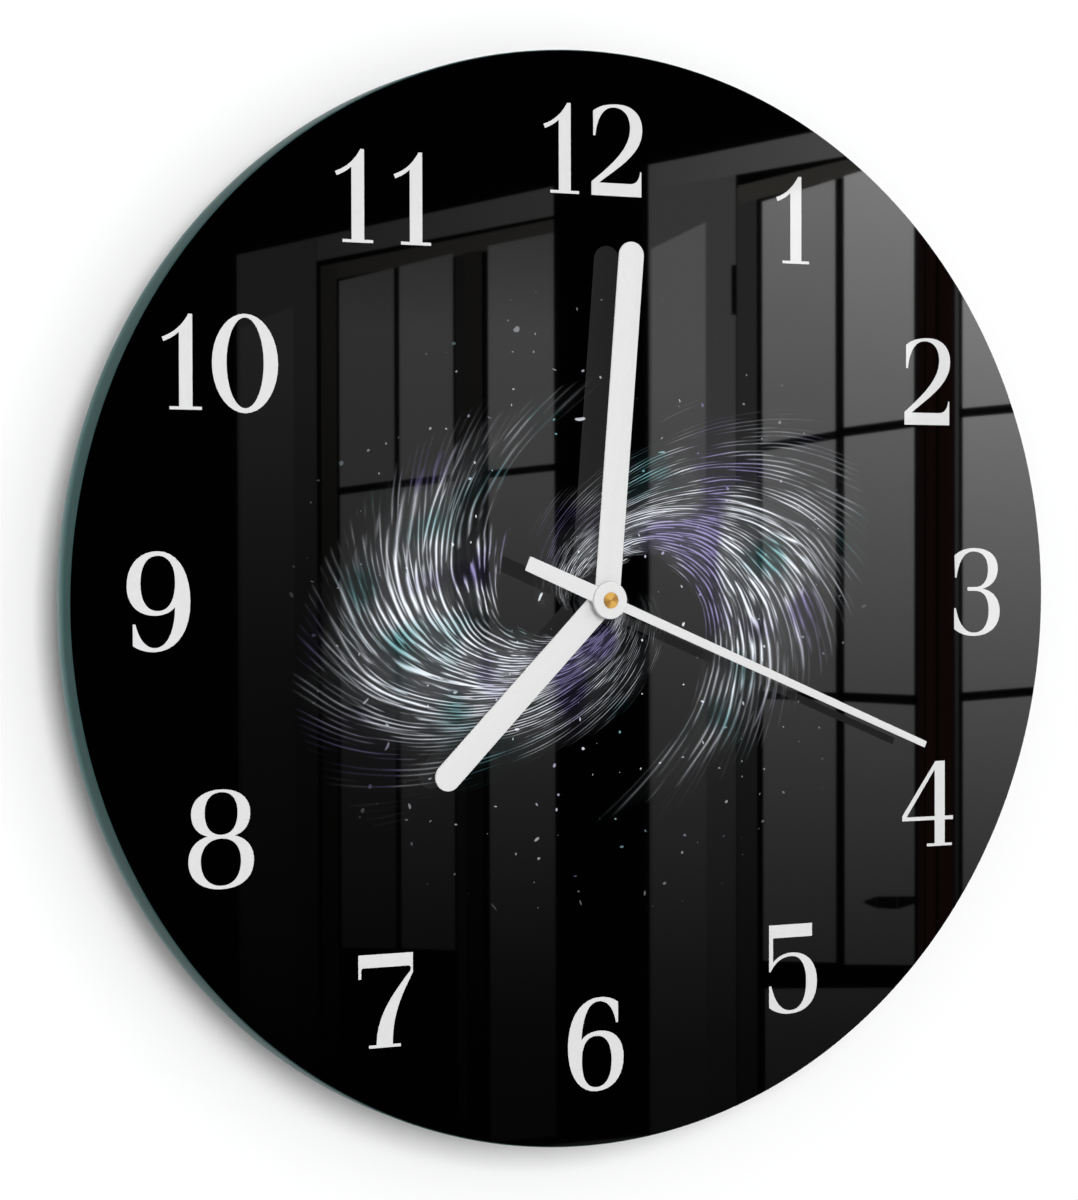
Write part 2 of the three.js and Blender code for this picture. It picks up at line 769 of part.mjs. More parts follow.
/** Soft-iron stator: a U around the rotor whose legs lie under the ends of the coil's core. */
function stator() {
  const y0 = coilY - coreEnd;
  const y1 = coilY + coreEnd;
  const top = statorThickness + beyond;
  const body = roundedRectangle(statorX0, statorX1, y0, y1, statorCorner, statorCorner);
  const window = roundedRectangle(
    statorX0 - beyond, rotorPoint.x - magnetRadius - statorGap - statorBridge,
    y0 + statorArm, y1 - statorArm, statorWindowCorner, statorWindowCorner);
  const rotorHole = at(rotorPoint, rod(magnetRadius + statorGap, -beyond, top));
  const notches = block(rotorPoint.x - statorNotch, rotorPoint.x + statorNotch,
    coilY - magnetRadius - 2 * statorGap, coilY + magnetRadius + 2 * statorGap, -beyond, top);
  const pins = statorPosts.map((p) => (
    at(p, rod(boardPinRadius + seat, -beyond, top, pivotSegments))));
  return cut(plate(body, 0, statorThickness), plate(window, -beyond, top),
    rotorHole, notches, ...pins);
}

/** Iron core through the bobbin, with its ends on the stator's legs. */
function coilCore() {
  return block(-coreWidth / 2, coreWidth / 2, -coreEnd, coreEnd, 0, coreThickness);
}

/** Bobbin: a square tube with a flange at each end. */
function coilBobbin() {
  const halfX = coreWidth / 2 + seat + bobbinWall;
  const halfZ = coreThickness / 2 + seat + bobbinWall;
  const end = coilLength / 2;
  const flange = coilRadius + flangeRise;
  return cut(
    join(
      block(-halfX, halfX, -end, end, -halfZ, halfZ),
      block(-flange, flange, -end, -end + bobbinFlange, -flange, flange),
      block(-flange, flange, end - bobbinFlange, end, -flange, flange),
    ),
    block(-halfX + bobbinWall, halfX - bobbinWall, -end - beyond, end + beyond,
      -halfZ + bobbinWall, halfZ - bobbinWall),
  );
}

/** Copper winding between the bobbin's flanges. */
function coilWinding() {
  const half = coilLength / 2 - bobbinFlange - seat;
  const halfX = coreWidth / 2 + 2 * seat + bobbinWall;
  const halfZ = coreThickness / 2 + 2 * seat + bobbinWall;
  return cut(
    rod(coilRadius, -half, half).rotateX(Math.PI / 2),
    block(-halfX, halfX, -half - beyond, half + beyond, -halfZ, halfZ),
  );
}

// Electronics

/** L-shaped board along the battery bay and up the right side. */
function circuitBoard() {
  const shape = new THREE.Shape();
  shape.moveTo(-boardEdge, boardY0);
  shape.lineTo(boardEdge, boardY0);
  shape.lineTo(boardEdge, boardTopY);
  shape.lineTo(boardWingX, boardTopY);
  shape.lineTo(boardWingX, boardY1);
  shape.lineTo(-boardEdge, boardY1);
  shape.closePath();
  const pins = boardPosts.map((p) => (
    at(p, rod(boardPinRadius + seat, -beyond, boardThickness + beyond, pivotSegments))));
  return cut(plate(shape, 0, boardThickness), ...pins);
}

/** The chip under its round blob of resin. */
function timingChip() {
  const profile = [[0, 0], [chipRadius, 0]];
  const steps = 5;
  for (let i = 1; i < steps; i += 1) {
    const angle = i / steps * Math.PI / 2;
    profile.push([chipRadius * Math.cos(angle), chipHeight * Math.sin(angle)]);
  }
  profile.push([0, chipHeight]);
  return turned(profile, boreSegments);
}

/** Crystal can, lying along y. */
function quartzCrystal() {
  const edge = 0.2;
  return turned([
    [0, -crystalLength / 2],
    [crystalRadius, -crystalLength / 2],
    [crystalRadius, crystalLength / 2 - edge],
    [crystalRadius - edge, crystalLength / 2],
    [0, crystalLength / 2],
  ], boreSegments).rotateX(-Math.PI / 2);
}

/** Battery contact for the right end: a plate with a bowed middle and a tail over the board. */
function batteryContact(bow) {
  const half = contactWidth / 2;
  const low = batteryLevel - half;
  const inner = contactX - contactThickness;
  const profile = new THREE.Shape();
  profile.moveTo(inner, -half);
  profile.lineTo(contactX, -half);
  profile.lineTo(contactX, half);
  profile.lineTo(inner, half);
  profile.lineTo(inner, half * contactBase);
  profile.lineTo(inner - bow, half * contactFlat);
  profile.lineTo(inner - bow, -half * contactFlat);
  profile.lineTo(inner, -half * contactBase);
  profile.closePath();
  const leaf = plate(profile, low, low + contactWidth).translate(0, bayY, 0);
  const tailY = dividerY1 + tailOffset + stripWidth;
  const tailTop = stripLevel + stripWidth;
  const tail = block(inner, contactX, bayY + half - tailOverlap, tailY, stripLevel, tailTop);
  const foot = block(boardEdge - footReach, contactX, tailY - stripWidth, tailY,
    stripLevel, stripLevel + contactThickness);
  return join(leaf, tail, foot);
}

/** AA cell, lying along x with its nub to the right. */
function battery() {
  const can = batteryLength / 2 - batteryNubLength;
  const foot = -batteryLength / 2;
  return turned([
    [0, foot],
    [batteryRadius - batteryCrimp, foot],
    [batteryRadius, foot + batteryCrimp],
    [batteryRadius, can - batteryCrimp],
    [batteryRadius - batteryCrimp, can],
    [batteryNubRadius, can],
    [batteryNubRadius, can + batteryNubLength],
    [0, can + batteryNubLength],
  ], ringSegments).rotateY(Math.PI / 2);
}

// Plates and case

/** Moulded plate between the lower and the upper half of the train. */
function middlePlate() {
  const outline = roundedRectangle(
    -caseInner + plateMargin, plateRight, dividerY1 + plateFootGap, caseInner - plateMargin,
    plateCorner, plateCorner);
  const through = (point, radius, segments = pivotSegments) => (
    at(point, rod(radius, -beyond, plateThickness + beyond, segments)));
  return cut(
    plate(outline, 0, plateThickness),
    through(axis, secondsArborRadius + running),
    through(intermediatePoint, pivotRadius + pivotPlay),
    through(rotorPoint, pivotRadius + pivotPlay),
    through(thirdPoint, pivotRadius + pivotPlay),
    through(knobPoint, knobShaftRadius + running),
    ...platePosts.map((p) => through(p, platePinRadius + seat)),
  );
}

/** Post with a blind pivot hole, hanging from z1 down to z0. */
function pivotBoss(radius, z0, z1) {
  const wall = radius + pivotPlay + bossWall;
  const depth = pivotDepth + pivotPlay;
  return cut(rod(wall, z0, z1), rod(radius + pivotPlay, z0 - beyond, z0 + depth, pivotSegments));
}

/** Moulded case, open to the back, with the battery bay and the posts of the train. */
function caseFront() {
  const inner = (y0, y1, z0) => block(-caseInner, caseInner, y0, y1, z0, frontWallLevel);
  const shell = cut(
    plate(roundedRectangle(-caseOuter, caseOuter, -caseOuter, caseOuter, caseCorner, caseCorner),
      0, caseDepth),
    inner(dividerY1, caseInner, -beyond),
    inner(-caseInner, dividerY0, -beyond),
    block(-caseOuter - beyond, caseOuter + beyond, dividerY0, caseOuter + beyond,
      -beyond, coverThickness + seat),
    rod(bushRadius + seat, -beyond, caseDepth + beyond, ringSegments),
    rod(bushFlangeRadius + seat, 0, frontWallLevel + bushFlangeThickness + seat, ringSegments),
  );
  const root = frontWallLevel + overlap;
  const platePostFoot = middlePlateLevel + plateThickness + seat;
  const posts = platePosts.flatMap((p) => [
    at(p, rod(platePostRadius, platePostFoot, root, pivotSegments)),
    at(p, rod(platePinRadius, middlePlateLevel - pinStandout, platePostFoot + overlap, pivotSegments)),
  ]);
  const thirdBossFoot = motionLevel + endShake / 2;
  const knobBossFoot = hourLevel;
  const knobBoss = at(knobPoint, cut(
    rod(knobPivotRadius + pivotPlay + bossWall, knobBossFoot, root),
    rod(knobPivotRadius + pivotPlay, knobBossFoot - beyond, frontWallLevel, pivotSegments),
  ));
  const filled = join(
    shell,
    ...posts,
    at(thirdPoint, pivotBoss(pivotRadius, thirdBossFoot, root)),
    at(motionPoint, rod(motionPostRadius, motionLevel, root, pivotSegments)),
    knobBoss,
  );
  const onSide = (side, x0, x1, y0, y1, z0, z1) => block(
    Math.min(side * x0, side * x1), Math.max(side * x0, side * x1), y0, y1, z0, z1);
  const armTop = coverThickness + snapHeight;
  const windows = snapRows.flatMap((y) => [-1, 1].map((side) => onSide(
    side, caseInner - overlap, caseOuter + beyond,
    y - snapWidth / 2 - snapPlay, y + snapWidth / 2 + snapPlay,
    armTop - snapBarbFoot - snapPlay, armTop + snapPlay)));
  const notches = [-1, 1].map((side) => onSide(
    side, contactX - notchDepth, caseInner,
    dividerY0 - overlap, dividerY1 + overlap, -beyond, stripLevel + stripWidth + seat));
  const half = fingerNotchWidth / 2;
  const fingerNotch = plate(
    roundedRectangle(-half, half, -beyond, fingerNotchDepth, fingerNotchCorner, 0), -beyond, beyond)
    .rotateX(Math.PI / 2).translate(0, -caseOuter + caseWall / 2, 0);
  return cut(filled, ...windows, ...notches, fingerNotch);
}

/** Snap-on cover with the knob's recess, the rear pivots and the posts of board and stator. */
function rearCover() {
  const root = coverThickness - overlap;
  const post = (p, radius, top) => at(p, rod(radius, root, top, pivotSegments));
  const boss = (p, radius, top) => {
    const wall = radius + pivotPlay + bossWall;
    const depth = pivotDepth + pivotPlay;
    return at(p, cut(
      rod(wall, root, top),
      rod(radius + pivotPlay, top - depth, top + beyond, pivotSegments)));
  };
  const cupTop = recessFloor + recessFloorThickness;
  const arms = snapRows.flatMap((y) => [-1, 1].map((side) => {
    const arm = new THREE.Shape();
    const face = caseInner - snapArmPlay;
    const top = coverThickness + snapHeight;
    arm.moveTo(face - snapThickness, root);
    arm.lineTo(face, root);
    arm.lineTo(face, top - snapBarbFoot);
    arm.lineTo(face + snapBarb, top - snapBarbTip);
    arm.lineTo(face, top);
    arm.lineTo(face - snapThickness, top);
    arm.closePath();
    const barbed = new THREE.ExtrudeGeometry(arm, { depth: snapWidth, bevelEnabled: false });
    barbed.rotateX(Math.PI / 2).translate(0, snapWidth / 2, 0);
    if (side < 0) barbed.rotateZ(Math.PI);
    return barbed.translate(0, y, 0);
  }));
  const intermediateBossTop = intermediateLevel - pinionOverhang - endShake / 2;
  const body = join(
    plate(roundedRectangle(-caseOuter, caseOuter, dividerY0 + seat, caseOuter, caseCorner, 0),
      0, coverThickness),
    at(knobPoint, rod(recessRadius + recessWall, root, cupTop, ringSegments)),
    boss(rotorPoint, pivotRadius, magnetLevel - endShake),
    boss(intermediatePoint, pivotRadius, intermediateBossTop),
    ...boardPosts.map((p) => post(p, boardPostRadius, boardLevel - seat)),
    ...boardPosts.map((p) => post(p, boardPinRadius, boardTop + pinStandout)),
    ...statorPosts.map((p) => post(p, boardPostRadius, statorLevel - seat)),
    ...statorPosts.map((p) => post(p, boardPinRadius, statorLevel + statorThickness + pinStandout)),
    boss(axis, secondsArborRadius, statorLevel + pivotDepth),
    ...arms,
  );
  return cut(
    body,
    at(knobPoint, rod(recessRadius, -beyond, recessFloor, ringSegments)),
    at(knobPoint, rod(knobShaftRadius + running, -beyond, cupTop + beyond)),
  );
}

/** Hanger: strip over the front of the case, bent back over its top and up to the keyhole. */
function hangerBracket() {
  const bend = caseOuter + hangerGap;
  const keyholeY = bend + hangerThickness + keyholeMargin + keyholeRadius;
  const slotY = keyholeY + slotRise;
  const top = slotY + hangerTopMargin;
  const front = hangerLevel + hangerThickness;
  const low = -hangerWidth / 2;
  const r = hangerBend;
  const side = new THREE.Shape();
  side.moveTo(low, hangerLevel);
  side.lineTo(bend, hangerLevel);
  side.lineTo(bend, r);
  side.absarc(bend + r, r, r, Math.PI, Math.PI * 1.5, false);
  side.lineTo(top, 0);
  side.lineTo(top, hangerThickness);
  side.lineTo(bend + hangerThickness, hangerThickness);
  side.lineTo(bend + hangerThickness, front - r);
  side.absarc(bend + hangerThickness - r, front - r, r, 0, Math.PI / 2, false);
  side.lineTo(low, front);
  side.closePath();
  const strip = plate(side, low, -low, 4).applyMatrix4(sideways);
  const outline = plate(stadium(hangerWidth / 2, low, top), -beyond, front + beyond, 16);
  const slot = join(
    rod(keyholeRadius, -beyond, hangerThickness + beyond).translate(0, keyholeY, 0),
    plate(stadium(slotRadius, keyholeY - slotRadius, slotY + slotRadius),
      -beyond, hangerThickness + beyond, 12),
  );
  const bushHole = rod(bushRadius + running, hangerLevel - beyond, front + beyond, ringSegments);
  return cut(common(strip, outline), slot, bushHole);
}

// Materials

/** A plain surface. */
function surface(color, roughness, metalness) {
  return new THREE.MeshStandardMaterial({ color, roughness, metalness });
}

const glass = surface(0x8fb0a8, 0.05, 0);
const blackPrint = surface(0x050505, 0.1, 0);
const whitePaint = surface(0xececec, 0.45, 0);
const brass = surface(0xc79a4b, 0.3, 1);
const blackMetal = surface(0x1a1a1a, 0.4, 0.6);
const platedSteel = surface(0xb9bcc0, 0.35, 1);
const nickel = surface(0xcfcabd, 0.3, 1);
const rubber = surface(0x202020, 0.9, 0);
const caseMoulding = surface(0x151515, 0.6, 0);
const whiteMoulding = surface(0xe6e4dc, 0.5, 0);
const wheelMoulding = surface(0xf2efe6, 0.5, 0);
const softIron = surface(0x8c8f92, 0.45, 1);
const magnetGrey = surface(0x3a3a3c, 0.5, 0.4);
const copper = surface(0xb4663a, 0.35, 1);
const boardGreen = surface(0x2c5a3c, 0.6, 0);
const resin = surface(0x0c0c0c, 0.5, 0);
const cellWrap = surface(0x6b7076, 0.4, 0.5);

// Assembly

const clock = new THREE.Group();

/** Adds a named part at a point and level, turned about its own z. */
function add(name, geometry, material, point = axis, level = 0, turn = 0) {
  const mesh = new THREE.Mesh(geometry, material);
  mesh.name = name;
  mesh.position.set(point.x, point.y, level);
  mesh.rotation.z = turn;
  clock.add(mesh);
}

add('glass_dial', glassDial(), glass, axis, glassLevel);
add('dial_print', dialPrint(), blackPrint, axis, printLevel);
add('rubber_gasket', ring(gasketRadius, bushRadius + running, 0, gasketThickness, ringSegments),
  rubber, axis, gasketLevel);
add('front_washer', ring(washerRadius, bushRadius + running, 0, washerThickness, ringSegments),
  blackMetal, axis, washerLevel);
add('hand_nut', handNut(), blackMetal, axis, nutLevel);
add('threaded_bush', threadedBush(), brass, axis, frontWallLevel);
add('hanger_bracket', hangerBracket(), platedSteel);
add('case_front', caseFront(), caseMoulding);
add('rear_cover', rearCover(), caseMoulding);
add('middle_plate', middlePlate(), whiteMoulding, axis, middlePlateLevel);

add('hour_hand', batonHand(hourLength, hourWidth, hourPipeRadius, hourColletHeight),
  whitePaint, axis, hourHandLevel, -hourAngle * degree);
add('minute_hand', batonHand(minuteLength, minuteWidth, minutePipeRadius, minuteColletHeight),
  whitePaint, axis, minuteHandLevel, -minuteAngle * degree);
add('second_hand', secondHand(), whitePaint, axis, secondHandLevel, -secondAngle * degree);
add('second_hand_pin', secondHandPin(), brass, axis, pinLevel);

add('rotor_pinion', rotorPinion(), wheelMoulding, rotorPoint, intermediateLevel);
add('rotor_magnet', rotorMagnet(), magnetGrey, rotorPoint, magnetLevel);
add('intermediate_wheel', intermediateWheel(), wheelMoulding, intermediatePoint, intermediateLevel);
add('seconds_wheel', secondsWheel(), nickel, axis, secondsLevel);
add('third_wheel', thirdWheel(), wheelMoulding, thirdPoint, thirdLevel);
add('centre_wheel', centreWheel(), wheelMoulding, axis, centreLevel);
add('cannon_pinion', cannonPinion(), nickel, axis, motionLevel);
add('motion_wheel', motionWheel(), wheelMoulding, motionPoint, motionLevel);
add('hour_wheel', hourWheel(), wheelMoulding, axis, hourLevel);
add('setting_knob', settingKnob(), whiteMoulding, knobPoint, knobInset);

const coilPoint = new THREE.Vector2(coilX, coilY);
add('stator', stator(), softIron, axis, statorLevel);
add('coil_core', coilCore(), softIron, coilPoint, coreLevel);
add('coil_bobbin', coilBobbin(), whiteMoulding, coilPoint, coilCentreLevel);
add('coil_winding', coilWinding(), copper, coilPoint, coilCentreLevel);

const wingX = (boardWingX + boardEdge) / 2;
add('circuit_board', circuitBoard(), boardGreen, axis, boardLevel);
add('timing_chip', timingChip(), resin, new THREE.Vector2(wingX, chipRadius), boardTop + seat);
add('quartz_crystal', quartzCrystal(), nickel,
  new THREE.Vector2(
    boardWingX + crystalRadius + crystalMargin, boardTopY - crystalLength / 2 - crystalMargin),
  boardTop + seat + crystalRadius);
add('contact_positive', batteryContact(contactSpring), nickel);
add('contact_negative', mirroredX(batteryContact(contactSpring)), nickel);
add('battery', battery(), cellWrap, new THREE.Vector2(0, bayY), batteryLevel);

// The dial faces -y and the twelve is up
clock.rotation.x = Math.PI / 2;

const model = new THREE.Group();
model.add(clock);
export default model;
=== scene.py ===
"""Looks of the glass wall clock, with its wall, lamps and camera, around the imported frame.

Pieces are drawn in millimetres in the dial's frame: x to the right, y up to the twelve and z out
of the dial, with 0 on the wall and on the axis of the hands. One matrix takes them to the row frame.
"""

import logging
import math
import re
from dataclasses import dataclass, field
from enum import Enum

import bmesh
import bpy
from bpy.types import ID, Material, Mesh, Node, NodeSocket, NodeTree, Object, World
from mathutils import Matrix, Vector


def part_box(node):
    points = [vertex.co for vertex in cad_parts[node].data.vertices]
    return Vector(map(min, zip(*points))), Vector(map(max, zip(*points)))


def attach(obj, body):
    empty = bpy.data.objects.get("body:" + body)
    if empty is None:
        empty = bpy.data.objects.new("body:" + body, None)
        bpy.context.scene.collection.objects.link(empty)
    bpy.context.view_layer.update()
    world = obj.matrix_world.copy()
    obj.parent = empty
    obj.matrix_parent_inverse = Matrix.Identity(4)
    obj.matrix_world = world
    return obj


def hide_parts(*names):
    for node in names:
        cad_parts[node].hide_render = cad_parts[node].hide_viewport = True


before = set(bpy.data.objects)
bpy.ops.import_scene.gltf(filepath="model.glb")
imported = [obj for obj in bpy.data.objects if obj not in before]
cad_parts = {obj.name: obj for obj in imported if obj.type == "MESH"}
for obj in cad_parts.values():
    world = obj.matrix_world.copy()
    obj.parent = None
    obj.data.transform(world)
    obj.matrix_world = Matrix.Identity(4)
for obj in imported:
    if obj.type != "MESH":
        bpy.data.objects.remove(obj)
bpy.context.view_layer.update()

LOG = logging.getLogger("wall_clock")
MM = 0.001
QUARTER = math.radians(90)
DIAL_TO_ROW = Matrix.Rotation(QUARTER, 4, "X") @ Matrix.Scale(MM, 4)
Outline = list[tuple[float, float]]
Point = tuple[float, float, float]
# What most of a noise lies between, and what its brighter patches and its few brightest ones do
MOST, PATCHES, BRIGHTEST = (0.3, 0.7), (0.35, 0.68), (0.45, 0.8)
# Points closer than these, in millimetres, are one: of an outline, a drawn mesh and a CAD mesh
SAME_POINT, SAME_VERTEX, SAME_CAD_VERTEX = 1e-6, 1e-4, 1e-3


# Small tools for colours, nodes and meshes


def linear(colour: str) -> tuple[float, float, float, float]:
    """Turns an sRGB hex colour to linear light.

    Args:
        colour: six hex digits, with or without a leading #.

    Returns:
        Red, green, blue and an alpha of 1.
    """
    digits = colour.lstrip("#")
    return (*(lit(int(digits[i : i + 2], 16) / 255) for i in (0, 2, 4)), 1.0)


def lit(share: float) -> float:
    """Turns one sRGB value from 0 to 1 to linear light."""
    return share / 12.92 if share <= 0.04045 else ((share + 0.055) / 1.055) ** 2.4


def feed(node: Node, *inputs: object, **named: object) -> Node:
    """Gives a node its properties and inputs.

    Args:
        node: the node.
        *inputs: what its first inputs are set to, or the nodes or sockets that feed them.
        **named: the same for its properties by name, and for its inputs by identifier with _ for a
            space. Stops are a ramp's pairs of a place and a colour.

    Returns:
        The node.
    """
    for key, value in [*named.items(), *enumerate(inputs)]:
        found = [s for i, s in enumerate(node.inputs) if key in (i, s.identifier.replace(" ", "_"))]
        if isinstance(value, Node):
            value = next(socket for socket in value.outputs if socket.enabled)
        if key == "stops":
            ramp = node.color_ramp.elements
            ramp.remove(ramp[1])
            ramp[0].position, ramp[0].color = value[0][0], linear(value[0][1])
            for place, tone in value[1:]:
                ramp.new(place).color = linear(tone)
        elif not found:
            setattr(node, key, value)
        elif isinstance(value, NodeSocket):
            node.id_data.links.new(value, found[0])
        else:
            found[0].default_value = value
    return node


def add(tree: NodeTree, kind: str, *inputs: object, **named: object) -> Node:
    """Adds one node with its settings and links.

    Args:
        tree: the tree the node goes in.
        kind: its type name, where one without Node in it is a shader node's and one in capitals
            is what a Math node works out.
        *inputs: its first inputs, as feed takes them.
        **named: its properties and other inputs, as feed takes them.

    Returns:
        The node.
    """
    if kind.isupper():
        kind, named = "Math", {"operation": kind}
    return feed(tree.nodes.new(kind if "Node" in kind else f"ShaderNode{kind}"), *inputs, **named)


def emptied(owner: Material | World) -> NodeTree:
    """The node tree of a material or world, with nothing in it."""
    owner.use_nodes = True
    owner.node_tree.nodes.clear()
    return owner.node_tree


def placed(name: str, data: ID) -> Object:
    """Puts data in the scene as an object of that name."""
    made = bpy.data.objects.new(name, data)
    bpy.context.scene.collection.objects.link(made)
    return made


def filleted(corners: list[Point], steps: int = 4) -> Outline:
    """Rounds the corners of a closed outline.

    Args:
        corners: each corner as its two coordinates and how far from it its rounding starts.
        steps: the facets of one rounding.

    Returns:
        The points of the outline.
    """
    points: Outline = []
    for i, (x, y, start) in enumerate(corners):
        here = Vector((x, y))
        if start <= 0:
            points.append((x, y))
            continue
        before = Vector(corners[i - 1][:2]) - here
        after = Vector(corners[(i + 1) % len(corners)][:2]) - here
        first, last = here + before.normalized() * start, here + after.normalized() * start
        for k in range(steps + 1):
            s = k / steps
            point = first * (1 - s) ** 2 + here * (2 * s * (1 - s)) + last * s**2
            points.append((point.x, point.y))
    return points


def arc(centre: tuple[float, float], radius: float, start: float, end: float, steps: int) -> Outline:
    """Points on an arc, both ends among them.

    Args:
        centre: its centre.
        radius: its radius.
        start: the angle of its first point in degrees, from +x.
        end: the angle of its last point.
        steps: the facets between them.

    Returns:
        The points.
    """
    angles = [math.radians(start + (end - start) * k / steps) for k in range(steps + 1)]
    return [(centre[0] + radius * math.cos(a), centre[1] + radius * math.sin(a)) for a in angles]


def circle(radius: float, steps: int) -> Outline:
    """Points of a whole circle about the axis."""
    return arc((0, 0), radius, 0, 360, steps)[:-1]


def smoothed(mesh: Mesh, angle: float = 32) -> Mesh:
    """Shades a mesh smooth, apart from edges that turn by more than the angle in degrees."""
    mesh.shade_smooth()
    mesh.set_sharp_from_angle(angle=math.radians(angle))
    return mesh


def opened(*meshes: Mesh) -> bmesh.types.BMesh:
    """Opens meshes for editing as one, with the material numbers of each kept."""
    bm = bmesh.new()
    for mesh in meshes:
        bm.from_mesh(mesh)
    return bm


def to_mesh(bm: bmesh.types.BMesh, outward: bool = True) -> Mesh:
    """Closes a bmesh to a mesh, with its faces turned outward or left as they are."""
    if outward:
        bmesh.ops.recalc_face_normals(bm, faces=bm.faces)
    mesh = bpy.data.meshes.new("drawn")
    bm.to_mesh(mesh)
    bm.free()
    return mesh


def merged(*meshes: Mesh) -> Mesh:
    """Puts closed meshes together in one."""
    return to_mesh(opened(*meshes), outward=False)


def revolved(profile: Outline, segments: int) -> Mesh:
    """Turns a closed profile about the z axis.

    Args:
        profile: its points, as radius and z.
        segments: the facets around.

    Returns:
        A closed mesh.
    """
    bm = bmesh.new()
    turns = [math.tau * i / segments for i in range(segments)]
    rings = [
        [bm.verts.new((radius * math.cos(a), radius * math.sin(a), z)) for a in turns]
        if radius >= SAME_POINT else [bm.verts.new((0, 0, z))]
        for radius, z in profile
    ]
    for low, high in zip(rings, rings[1:] + rings[:1]):
        for i in range(segments):
            k = (i + 1) % segments
            corners = low[i % len(low)], low[k % len(low)], high[k % len(high)], high[i % len(high)]
            face = list(dict.fromkeys(corners))
            if len(face) > 2:
                bm.faces.new(face)
    return to_mesh(bm)


def baked(holder: Object) -> Mesh:
    """The plain mesh of an object with its modifiers, after which the object is removed."""
    evaluated = holder.evaluated_get(bpy.context.evaluated_depsgraph_get())
    mesh = bpy.data.meshes.new_from_object(evaluated)
    bpy.data.objects.remove(holder)
    return mesh


def flat_piece(outlines: list[Outline], z0: float, z1: float, edge: float = 0.0) -> Mesh:
    """Gives flat outlines a thickness, with rounded edges.

    Args:
        outlines: the outer outlines and the holes in them.
        z0: the lower face.
        z1: the upper face.
        edge: the rounding of the edges.

    Returns:
        A closed mesh.
    """
    data = bpy.data.curves.new("drawn", "CURVE")
    data.dimensions, data.fill_mode = "2D", "BOTH"
    data.extrude = (z1 - z0) / 2 - edge
    data.bevel_depth, data.bevel_resolution, data.offset = edge, 2, -edge
    for points in outlines:
        spline = data.splines.new("POLY")
        spline.points.add(len(points) - 1)
        for point, (x, y) in zip(spline.points, points):
            point.co = (x, y, 0, 1)
        spline.use_cyclic_u = True
    mesh = baked(placed("drawn", data))
    mesh.transform(Matrix.Translation((0, 0, (z0 + z1) / 2)))
    bm = opened(mesh)
    bmesh.ops.remove_doubles(bm, verts=bm.verts, dist=SAME_VERTEX)
    return to_mesh(bm)


def carved(mesh: Mesh, tool: Mesh) -> Mesh:
    """Cuts one closed mesh out of another."""
    holder, cutter = placed("drawn", mesh), placed("tool", tool)
    cut = holder.modifiers.new("carved", "BOOLEAN")
    cut.operation, cut.solver, cut.object = "DIFFERENCE", "EXACT", cutter
    result = baked(holder)
    bpy.data.objects.remove(cutter)
    return result


def softened(node: str, width: float, turn: float = 30) -> Mesh:
    """Copies a CAD node's mesh and rounds its sharp edges.

    Args:
        node: the node's name.
        width: how far from an edge its rounding starts.
        turn: the least angle in degrees between two faces that counts as an edge.

    Returns:
        A closed mesh in the dial's frame.
    """
    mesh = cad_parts[node].data.copy()
    mesh.materials.clear()
    mesh.transform(DIAL_TO_ROW.inverted())
    bm = opened(mesh)
    bmesh.ops.remove_doubles(bm, verts=bm.verts, dist=SAME_CAD_VERTEX)
    bmesh.ops.dissolve_limit(bm, angle_limit=math.radians(1), verts=bm.verts, edges=bm.edges)
    sharp = [e for e in bm.edges if e.is_manifold and e.calc_face_angle() > math.radians(turn)]
    bmesh.ops.bevel(bm, geom=sharp, offset=width, segments=2, profile=0.5, affect="EDGES", clamp_overlap=True)
    return to_mesh(bm, outward=False)


class GrowingTree:
    """A Geometry Nodes tree with named inputs, whose result is kept as a plain mesh."""

    def __init__(self, name: str, values: dict[str, float | int | Material]) -> None:
        """Starts the tree.

        Args:
            name: the tree's name.
            values: the value of each input by the input's name, with its material as Finish.
        """
        sockets = {"float": "NodeSocketFloat", "int": "NodeSocketInt"}
        self.values = values
        self.tree = bpy.data.node_groups.new(name, "GeometryNodeTree")
        for label, value in values.items():
            kind = sockets.get(type(value).__name__, "NodeSocketMaterial")
            self.tree.interface.new_socket(label, in_out="INPUT", socket_type=kind)
        self.tree.interface.new_socket("Geometry", in_out="OUTPUT", socket_type="NodeSocketGeometry")
        self.given = self.tree.nodes.new("NodeGroupInput").outputs

    def grown(self, geometry: Node) -> Mesh:
        """Ends the tree with real geometry in its finish, and runs it.

        Args:
            geometry: the node that gives the geometry.

        Returns:
            What the tree makes.
        """
        real = add(self.tree, "GeometryNodeRealizeInstances", geometry)
        dressed = add(self.tree, "GeometryNodeSetMaterial", real, Material=self.given["Finish"])
        add(self.tree, "NodeGroupOutput", dressed)
        holder = placed(self.tree.name, bpy.data.meshes.new(self.tree.name))
        modifier = holder.modifiers.new(self.tree.name, "NODES")
        modifier.node_group = self.tree
        for item in self.tree.interface.items_tree:
            if item.item_type == "SOCKET" and item.in_out == "INPUT":
                modifier[item.identifier] = self.values[item.name]
        return baked(holder)


